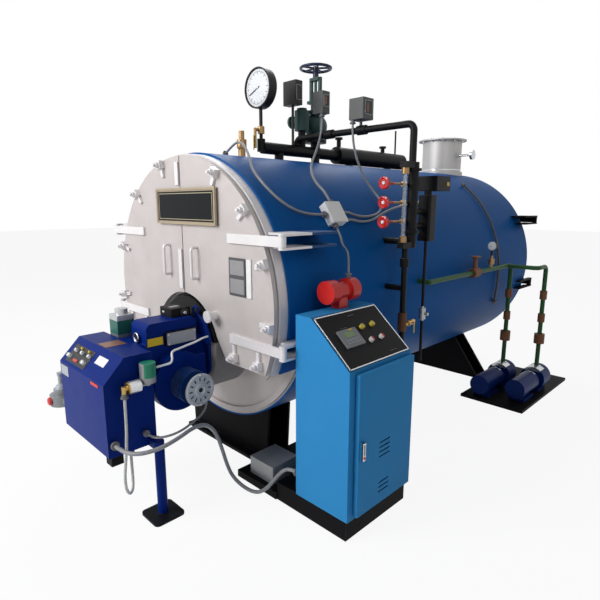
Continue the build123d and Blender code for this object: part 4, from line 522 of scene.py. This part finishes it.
def repeater(name, ring):
    """Geometry Nodes group that sets copies of a piece round a ring or along a row."""
    group = bpy.data.node_groups.new(name, "GeometryNodeTree")
    for label, kind in (("Piece", "NodeSocketObject"), ("Count", "NodeSocketInt"),
                        ("Radius", "NodeSocketFloat"), ("Step", "NodeSocketVector"),
                        ("Material", "NodeSocketMaterial")):
        group.interface.new_socket(label, in_out="INPUT", socket_type=kind)
    group.interface.new_socket("Geometry", in_out="OUTPUT", socket_type="NodeSocketGeometry")
    new, link = group.nodes.new, group.links.new
    given, result = new("NodeGroupInput"), new("NodeGroupOutput")
    copies, real, finish = (new("GeometryNode" + kind) for kind in (
        "InstanceOnPoints", "RealizeInstances", "SetMaterial"))
    source = new("GeometryNodeObjectInfo")
    link(given.outputs["Piece"], source.inputs["Object"])
    link(source.outputs["Geometry"], copies.inputs["Instance"])
    if ring:
        points = new("GeometryNodeMeshCircle")
        link(given.outputs["Count"], points.inputs["Vertices"])
        link(given.outputs["Radius"], points.inputs["Radius"])
        share, turn = new("ShaderNodeMath"), new("ShaderNodeMath")
        angle = new("ShaderNodeCombineXYZ")
        share.operation, turn.operation = "DIVIDE", "MULTIPLY"
        link(new("GeometryNodeInputIndex").outputs[0], share.inputs[0])
        link(given.outputs["Count"], share.inputs[1])
        link(share.outputs[0], turn.inputs[0])
        turn.inputs[1].default_value = math.tau
        link(turn.outputs[0], angle.inputs["Z"])
        link(angle.outputs[0], copies.inputs["Rotation"])
    else:
        points = new("GeometryNodeMeshLine")
        link(given.outputs["Count"], points.inputs["Count"])
        link(given.outputs["Step"], points.inputs["Offset"])
    link(points.outputs[0], copies.inputs["Points"])
    link(copies.outputs[0], real.inputs[0])
    link(real.outputs[0], finish.inputs["Geometry"])
    link(given.outputs["Material"], finish.inputs["Material"])
    link(finish.outputs[0], result.inputs[0])
    return group


round_about, in_a_row = repeater("round_about", True), repeater("in_a_row", False)


def copies(data, material, count, radius=None, step=(0.0, 0.0, 0.0)):
    """Plain mesh of repeated copies, round a ring of that radius or one step apart in a row."""
    data.materials.append(material)
    piece = bpy.data.objects.new("piece", data)
    carrier = bpy.data.objects.new("carrier", bpy.data.meshes.new("carrier"))
    for thing in (carrier, piece):
        bpy.context.scene.collection.objects.link(thing)
    modifier = carrier.modifiers.new("repeat", "NODES")
    modifier.node_group = in_a_row if radius is None else round_about
    given = {"Piece": piece, "Count": count, "Radius": radius or 0.0, "Step": step,
             "Material": material}
    for socket in modifier.node_group.interface.items_tree:
        if socket.in_out == "INPUT":
            modifier[socket.identifier] = given[socket.name]
    bpy.context.view_layer.update()
    repeated = carrier.evaluated_get(bpy.context.evaluated_depsgraph_get())
    made = bpy.data.meshes.new_from_object(repeated)
    bpy.data.objects.remove(carrier)
    bpy.data.objects.remove(piece)
    return made


slots = copies(plate((0.020, 0.008, 0.003), 0.001), black_plastic, 12, radius=0.056)
bolts = copies(knob(0.0045, 0.004), bright_metal, 4, radius=0.079)
motor_end = to_right(0.4162, -0.434, 0.605)
motor_light = paint("motor_light", (0.46, 0.47, 0.49), 0.4, metal=0.4, grain=16.0, wear=0.3)
assemble(
    "motor_cowl", "boiler",
    (turned([(0.086, 0.0), (0.0865, 0.006), (0.083, 0.010), (0.072, 0.011), (0.070, 0.006),
             (0.038, 0.006), (0.036, 0.012), (0.024, 0.014), (0.021, 0.010), (0.012, 0.010)], 48),
     motor_end, motor_light),
    (turned([(0.0, 0.0085), (0.012, 0.0105)], 24), motor_end, black_plastic),
    (slots, motor_end @ Matrix.Translation((0, 0, 0.0055)), black_plastic),
    (bolts, motor_end @ Matrix.Translation((0, 0, 0.0105)), bright_metal))

# Pilot tube: white plastic tube that leaves the gas train, bends round the cover box and is
# screwed in at the gusset.
routed("pilot_tube", (
    (0.392, -0.655, 0.775), (0.392, -0.600, 0.775), (0.392, -0.575, 0.777), (0.380, -0.560, 0.790),
    (0.352, -0.548, 0.812), (0.340, -0.530, 0.818), (0.330, -0.500, 0.818), (0.318, -0.440, 0.822),
    (0.302, -0.370, 0.826), (0.284, -0.330, 0.828), (0.272, -0.300, 0.829), (0.270, -0.272, 0.829),
), 0.011, label_white, steps=12, sides=4)

# Control cabinet: folded sheet steel in lighter blue powder coat on a black plinth, with a
# zinc-plated mounting plate inside, and a black console with a touch screen and lit buttons.
cabinet_blue = paint("cabinet_blue", (0.030, 0.238, 0.530), 0.45, grain=3.5, spread=0.08, bump=0.1,
                     wear=0.15, gloss=0.06)
dress(cabinet_blue, "cabinet_body", "cabinet_door")
dress(paint("zinc_plate", (0.52, 0.54, 0.55), 0.35, metal=0.85, grain=16.0),
      "cabinet_mounting_plate")
dress(drive_black, "console_panel")
dress(paint("console_plastic", (0.03, 0.03, 0.032), 0.3, grain=30.0, spread=0.05, wear=0.0, areas=[
    ((1.0, -0.2, 0.8), (1.2, 0.04, 1.1), (0.20, 0.21, 0.22), 0.4, 0.0),
    ((1.0, 0.05, 0.94), (1.2, 0.2, 1.1), (0.62, 0.50, 0.06), 0.25, 0.0),
    ((1.0, 0.05, 0.8), (1.2, 0.2, 0.94), (0.70, 0.03, 0.03), 0.25, 0.0),
    ((1.0, 0.05, 0.8), (1.2, 0.076, 0.94), (0.78, 0.78, 0.76), 0.25, 0.0),
    ((1.0, 0.13, 0.8), (1.2, 0.156, 0.94), (0.78, 0.78, 0.76), 0.25, 0.0)]), "panel_controls")
slope = max(nodes["console_panel"].data.polygons, key=lambda face: face.area)
slope_out = slope.normal if slope.normal.z > 0 else -slope.normal
slope_mid = sum(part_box("console_panel"), Vector()) / 2
screen_end = 0.03


def lift(name, end):
    """How far the node's part before that y stands out past the slope's middle."""
    return max(slope_out.dot(v.co - slope_mid) for v in nodes[name].data.vertices if v.co.y < end)


face_lift, screen_lift = lift("console_panel", math.inf), lift("panel_controls", screen_end)
console = laid(slope_mid + slope_out * face_lift, slope_out)
lens_green = paint("lens_green", (0.10, 0.22, 0.04), 0.15, grain=20.0, spread=0.2, coat=0.6,
                   wear=0.0)
edge_long, edge_short = plate((0.462, 0.006, 0.0024)), plate((0.006, 0.296, 0.0024))


def on_screen(across, up):
    """Place on the touch panel's face."""
    return console @ Matrix.Translation((-0.096 + across, up + 0.004, screen_lift - face_lift))


assemble(
    "console_trim", "boiler",
    *((edge_long, console @ Matrix.Translation((0, up, 0.0004)), bright_metal)
      for up in (-0.145, 0.145)),
    *((edge_short, console @ Matrix.Translation((across, 0, 0.0004)), bright_metal)
      for across in (-0.228, 0.228)),
    (plate((0.064, 0.030, 0.002)), on_screen(0.0, 0.012), lens_green),
    (plate((0.022, 0.010, 0.003)), on_screen(0.026, 0.036), label_yellow),
    *((copies(plate((0.011, 0.009, 0.003)), label_grey, 5, step=(0.019, 0.0, 0.0)),
       on_screen(-0.038, row), label_grey) for row in (-0.016, -0.030)),
    *((plate((0.048, 0.002, 0.0008)), console @ Matrix.Translation((across, up, 0.0006)),
       label_grey) for across, up in ((0.010, 0.118), (-0.096, 0.060), (0.120, -0.122))))

# Door lock: a die-cast zinc swing handle in a dished plate, with a red key dot, clamped
# through the door's sheet.
assemble(
    "door_lock", "cabinet_door",
    (plate((0.025, 0.091, 0.006), 0.003), to_right(1.2445, -0.124, 0.453), bright_metal),
    (plate((0.009, 0.054, 0.005), 0.002), to_right(1.2475, -0.124, 0.463), label_grey),
    (knob(0.0075, 0.004), to_right(1.2475, -0.124, 0.424), lamp_red))

# Pipework, level column and steam header: black painted steel pipe screwed into malleable
# fittings, with cast green valves, a dark blue handwheel and brass cocks. The switches, dials
# and boxes on it are die-cast or moulded.
pipe_black = paint("pipe_black", (0.007, 0.007, 0.008), 0.42, grain=16.0, spread=0.3, bump=0.4,
                   wear=0.4, gloss=0.12, areas=[
                       ((0.88, 0.60, 0.81), (0.96, 0.69, 0.921), (0.13, 0.060, 0.032), 0.5, 0.2),
                       ((0.91, 0.82, 0.84), (0.99, 0.88, 0.93), (0.40, 0.40, 0.41), 0.3, 0.8)])
dress(pipe_black, "steam_header", "level_pipe", "water_column", "level_controller", "drain_pipes")
cast_green = paint("cast_green", (0.030, 0.075, 0.068), 0.5, grain=18.0, bump=0.7, wear=0.35)
dress(cast_green, "main_steam_valve", "safety_valve")
dress(paint("wheel_blue", (0.010, 0.020, 0.060), 0.32, grain=20.0, wear=0.4), "main_handwheel")
red_caps = [((0.86, 0.45, 1.40), (0.935, 0.54, 1.70), (0.42, 0.02, 0.02), 0.35, 0.0)]
dress(paint("brass", (0.30, 0.185, 0.085), 0.38, metal=0.85, grain=30.0, worn=(0.6, 0.5, 0.3),
            areas=red_caps), "brass_cocks")
dress(paint("switch_grey", (0.105, 0.108, 0.106), 0.4, grain=14.0, wear=0.3, gloss=0.2, areas=[
    ((-0.08, 0.6, 1.9), (0.08, 0.7, 2.4), (0.035, 0.034, 0.032), 0.45, 0.1)]), "pressure_switches")
dress(paint("gauge_case", (0.016, 0.016, 0.017), 0.4, grain=20.0, gloss=0.2, areas=[
    ((0.16, 2.5, 1.9), (0.4, 2.8, 2.1), (0.60, 0.61, 0.62), 0.28, 0.9),
    ((0.84, 1.89, 1.20), (0.92, 1.902, 1.27), (0.74, 0.74, 0.72), 0.4, 0.0)]), "dial_gauges")
dress(paint("gland_grey", (0.16, 0.16, 0.17), 0.35, grain=40.0), "conduit_glands")
dress(paint("box_white", (0.92, 0.92, 0.91), 0.4, grain=10.0, spread=0.05), "junction_box")
dress(paint("box_grey", (0.36, 0.37, 0.38), 0.38, metal=0.3, grain=10.0), "transformer_box")
dress(paint("siren_red", (0.62, 0.016, 0.012), 0.34, grain=12.0, spread=0.08, coat=0.15), "siren")

# Dials: a white enamelled face with a printed ring of ticks, a plain black needle and a bright
# boss, in the large gauge over the header and in the small one on the feed line.


def dial(name, centre, radius):
    """Dial face that looks towards the burner end."""
    face = to_front(*centre)
    printed = face @ Matrix.Translation((0, 0, 0.0014))
    tick = plate((radius * 0.14, radius * 0.030, 0.0006), 0.0001)
    fine_tick = plate((radius * 0.07, radius * 0.014, 0.0006), 0.0001)
    assemble(
        name, "boiler",
        (turned([(0.0, 0.0012), (radius * 0.98, 0.0012), (radius, 0.0)], 64), face, label_white),
        (copies(tick, black_plastic, 16, radius=radius * 0.80), printed, black_plastic),
        (copies(fine_tick, black_plastic, 80, radius=radius * 0.86), printed, black_plastic),
        (plate((radius * 0.95, radius * 0.060, 0.0012), 0.0004, (radius * -0.30, 0, 0)),
         face @ Matrix.Rotation(0.42, 4, "Z") @ Matrix.Translation((0, 0, 0.0034)), black_plastic),
        (knob(radius * 0.06, 0.006), face, bright_metal))


dial("steam_dial", (0.0, 0.3446, 2.253), 0.1105)
dial("feed_dial", (0.880, 1.8995, 1.232), 0.0285)

# Gauge valves: red moulded wheels with lobes and a bare hub on the three cocks of the column,
# flat steel levers dipped in yellow plastic on the gauge cocks, and a bare yellow sticker on the
# level controller.
lobes = copies(plate((0.009, 0.011, 0.009), 0.003), lamp_red, 10, radius=0.029)
for number, level in enumerate((1.449, 1.553, 1.655)):
    cock = to_front(0.896, 0.4515, level)
    assemble(
        "cock_wheel_%d" % number, "boiler",
        (turned([(0.033, 0.0), (0.033, 0.004), (0.026, 0.006), (0.022, 0.002), (0.012, 0.002),
                 (0.011, 0.0)], 32), cock, lamp_red),
        (lobes, cock @ Matrix.Translation((0, 0, 0.003)), lamp_red),
        (knob(0.010, 0.006), cock, label_white))
assemble(
    "gauge_levers", "boiler",
    (plate((0.010, 0.004, 0.088), 0.002), to_top(-0.004, 0.3075, 1.925), label_yellow),
    (plate((0.008, 0.004, 0.060), 0.002), to_top(0.884, 1.8865, 1.082), label_yellow))
assemble(
    "float_switch_tag", "boiler",
    (plate((0.030, 0.024, 0.0012)), to_right(1.0006, 0.950, 1.660), label_yellow))

# Drain cock: a small turned brass ball valve, with a flat steel lever dipped in yellow plastic,
# screwed into the blowdown coupling.
brass_cock = paint("brass_cock", (0.52, 0.34, 0.12), 0.34, metal=0.9, grain=30.0)
assemble(
    "drain_cock", "boiler",
    (turned([(0.0, 0.0), (0.009, 0.0), (0.009, 0.036), (0.017, 0.038), (0.017, 0.052),
             (0.012, 0.056), (0.012, 0.074), (0.017, 0.078), (0.017, 0.092), (0.009, 0.094),
             (0.009, 0.110), (0.0, 0.110)], 24),
     laid((0.920, 0.668, 0.838), (0.0, 1.0, 0.12), (1, 0, 0)), brass_cock),
    (turned([(0.0, 0.0), (0.005, 0.0), (0.005, 0.022), (0.0, 0.022)], 16),
     to_right(0.928, 0.733, 0.846), brass_cock),
    (plate((0.012, 0.003, 0.066), 0.001, (0, 0, -0.026)),
     laid((0.948, 0.733, 0.846), (0.0, 0.0, 1.0), (0, 1, 0)), label_yellow))

# Switch boxes: a dark plastic window in the side of each, in a moulded frame that clips into
# the case, with a bare brown scale strip.
for number, (place, wide, high) in enumerate((
        ((0.0602, 0.648, 2.265), 0.050, 0.090), ((0.2652, 0.690, 2.190), 0.050, 0.070),
        ((0.6012, 0.690, 2.105), 0.070, 0.078))):
    window = to_right(*place)
    frame_bar, frame_post = plate((wide, 0.006, 0.004)), plate((0.006, high, 0.004))
    assemble(
        "switch_window_%d" % number, "boiler",
        (plate((wide, high, 0.001)), window, black_plastic),
        *((frame_bar, window @ Matrix.Translation((0, up, 0.001)), label_grey)
          for up in (-high / 2, high / 2)),
        *((frame_post, window @ Matrix.Translation((across, 0, 0.001)), label_grey)
          for across in (-wide / 2, wide / 2)),
        (plate((0.016, high * 0.7, 0.001)), window @ Matrix.Translation((-wide * 0.15, 0, 0.001)),
         label_brown))

# Flue stub: rolled and welded stainless sheet, brushed round its girth, with bolts and nuts in
# its drilled flange and a thin clamp ring at the cladding.
dress(paint("stainless", (0.50, 0.485, 0.475), 0.52, metal=0.6, grain=9.0, spread=0.28, bump=0.03,
            stretch=(1.0, 1.0, 0.12), wear=0.1), "flue_stub")
flange, clamp = Vector((0.0, 2.65, 2.126)), (0.0, 2.65, 1.862)
bolt_count, bolt_circle = 12, 0.202
bolt_heads = copies(plate((0.014, 0.014, 0.010), 0.002), bright_metal, bolt_count, bolt_circle)
bolt_nuts = copies(plate((0.012, 0.012, 0.006), 0.002), bright_metal, bolt_count, bolt_circle)
assemble(
    "flue_bolts", "boiler",
    (bolt_heads, Matrix.Translation(flange - Vector((0, 0, 0.003))), bright_metal),
    (bolt_nuts, Matrix.Translation(flange + Vector((0, 0, 0.017))), bright_metal),
    (turned([(0.1805, -0.005), (0.1825, -0.004), (0.1825, 0.004), (0.1805, 0.005)], 64),
     Matrix.Translation(clamp), bright_metal))

# Feed line: green painted steel pipe screwed into rust-brown malleable fittings, and two small
# blue cast-iron pumps with bright couplings, bolted to the deck.
dress(paint("feed_green", (0.026, 0.098, 0.032), 0.42, grain=12.0, spread=0.25, bump=0.4,
            gloss=0.15), "feed_pipe")
dress(paint("fitting_brown", (0.16, 0.065, 0.03), 0.55, metal=0.3, grain=26.0, bump=0.7),
      "feed_fittings")
dress(paint("pump_blue", (0.002, 0.022, 0.150), 0.36, grain=12.0, wear=0.35, gloss=0.08, areas=[
    ((0.82, 2.15, 0.19), (0.94, 2.31, 0.25), (0.62, 0.63, 0.64), 0.3, 0.8),
    ((1.06, 2.25, 0.19), (1.18, 2.41, 0.25), (0.62, 0.63, 0.64), 0.3, 0.8)]), "feed_pumps")

# Gauge glass: a drawn tube of clear glass, slightly rippled, held between two cocks by rubber
# rings and nuts.
glass = Graph("clear_glass")
ripple = glass.node("ShaderNodeTexNoise", {"Scale": 60.0, "Detail": 2.0})
glass.put(glass.surface.inputs["Base Color"],
          glass.blend(ripple, (0.86, 0.9, 0.9, 1.0), (0.92, 0.95, 0.95, 1.0)))
glass.put(glass.surface.inputs["Roughness"], ripple * 0.08 + 0.02)
glass.surface.inputs["Transmission Weight"].default_value = 0.85
dress(glass.material, "gauge_glass")

# Studio: a pale floor and a white surround, with one large lamp above the burner corner, a
# weaker one from the cabinet side and one behind.
floor_mesh = bpy.data.meshes.new("floor")
reach, level = 30, -0.002
floor_mesh.from_pydata([(-reach, -reach, level), (reach, -reach, level), (reach, reach, level),
                        (-reach, reach, level)], [], [(0, 1, 2, 3)])
floor = bpy.data.objects.new("floor", floor_mesh)
bpy.context.scene.collection.objects.link(floor)
ground = Graph("floor_white")
speckle = ground.node("ShaderNodeTexNoise", {"Scale": 40.0})
ground.put(ground.surface.inputs["Base Color"],
           ground.blend(speckle, (0.88, 0.88, 0.88, 1.0), (0.92, 0.92, 0.92, 1.0)))
ground.put(ground.surface.inputs["Roughness"], speckle * 0.1 + 0.75)
seen = ground.node("ShaderNodeLightPath", {}, "Is Camera Ray")
mirrored, through = (Wire(ground, seen.socket.node.outputs[kind])
                     for kind in ("Is Glossy Ray", "Is Transmission Ray"))
white_share = 0.91
lit = (seen + mirrored + through > 0.5) * white_share
glow = ground.node("ShaderNodeEmission", {"Color": (1, 1, 1, 1), "Strength": 1.0})
joined = ground.node("ShaderNodeMixShader", {
    0: lit, 1: Wire(ground, ground.surface.outputs[0]), 2: glow})
ground.tree.links.new(joined.socket, ground.tree.nodes["Material Output"].inputs["Surface"])
floor_mesh.materials.append(ground.material)

world = bpy.data.worlds.new("studio")
bpy.context.scene.world = world
world.use_nodes = True
tree = world.node_tree
tree.nodes.clear()
rays = tree.nodes.new("ShaderNodeLightPath").outputs
bounced, direct = (tree.nodes.new("ShaderNodeMath") for _ in range(2))
bounced.operation = direct.operation = "MAXIMUM"
plain, white = (tree.nodes.new("ShaderNodeBackground") for _ in range(2))
plain.inputs["Color"].default_value = (0.62, 0.64, 0.66, 1.0)
plain.inputs["Strength"].default_value = 0.30
white.inputs["Color"].default_value = (1, 1, 1, 1)
mixed, sky = tree.nodes.new("ShaderNodeMixShader"), tree.nodes.new("ShaderNodeOutputWorld")
for output, socket in (
        (rays["Is Glossy Ray"], bounced.inputs[0]),
        (rays["Is Transmission Ray"], bounced.inputs[1]),
        (rays["Is Camera Ray"], direct.inputs[0]), (bounced.outputs[0], direct.inputs[1]),
        (direct.outputs[0], mixed.inputs[0]), (plain.outputs[0], mixed.inputs[1]),
        (white.outputs[0], mixed.inputs[2]), (mixed.outputs[0], sky.inputs["Surface"])):
    tree.links.new(output, socket)

for name, place, target, size, power in (
        ("key_lamp", (-1.6, -5.0, 3.8), (0.1, 0.0, 1.0), 3.0, 330.0),
        ("side_lamp", (5.0, -1.5, 4.2), (0.4, 1.0, 1.0), 3.0, 30.0),
        ("rear_lamp", (-2.5, 3.5, 4.8), (0.0, 1.5, 1.4), 3.0, 110.0)):
    lamp = bpy.data.objects.new(name, bpy.data.lights.new(name, "AREA"))
    bpy.context.scene.collection.objects.link(lamp)
    lamp.data.size = size
    lamp.data.energy = power
    lamp.location = place
    lamp.rotation_euler = (Vector(target) - Vector(place)).to_track_quat("-Z", "Y").to_euler()

bpy.context.scene.view_settings.view_transform = "Standard"
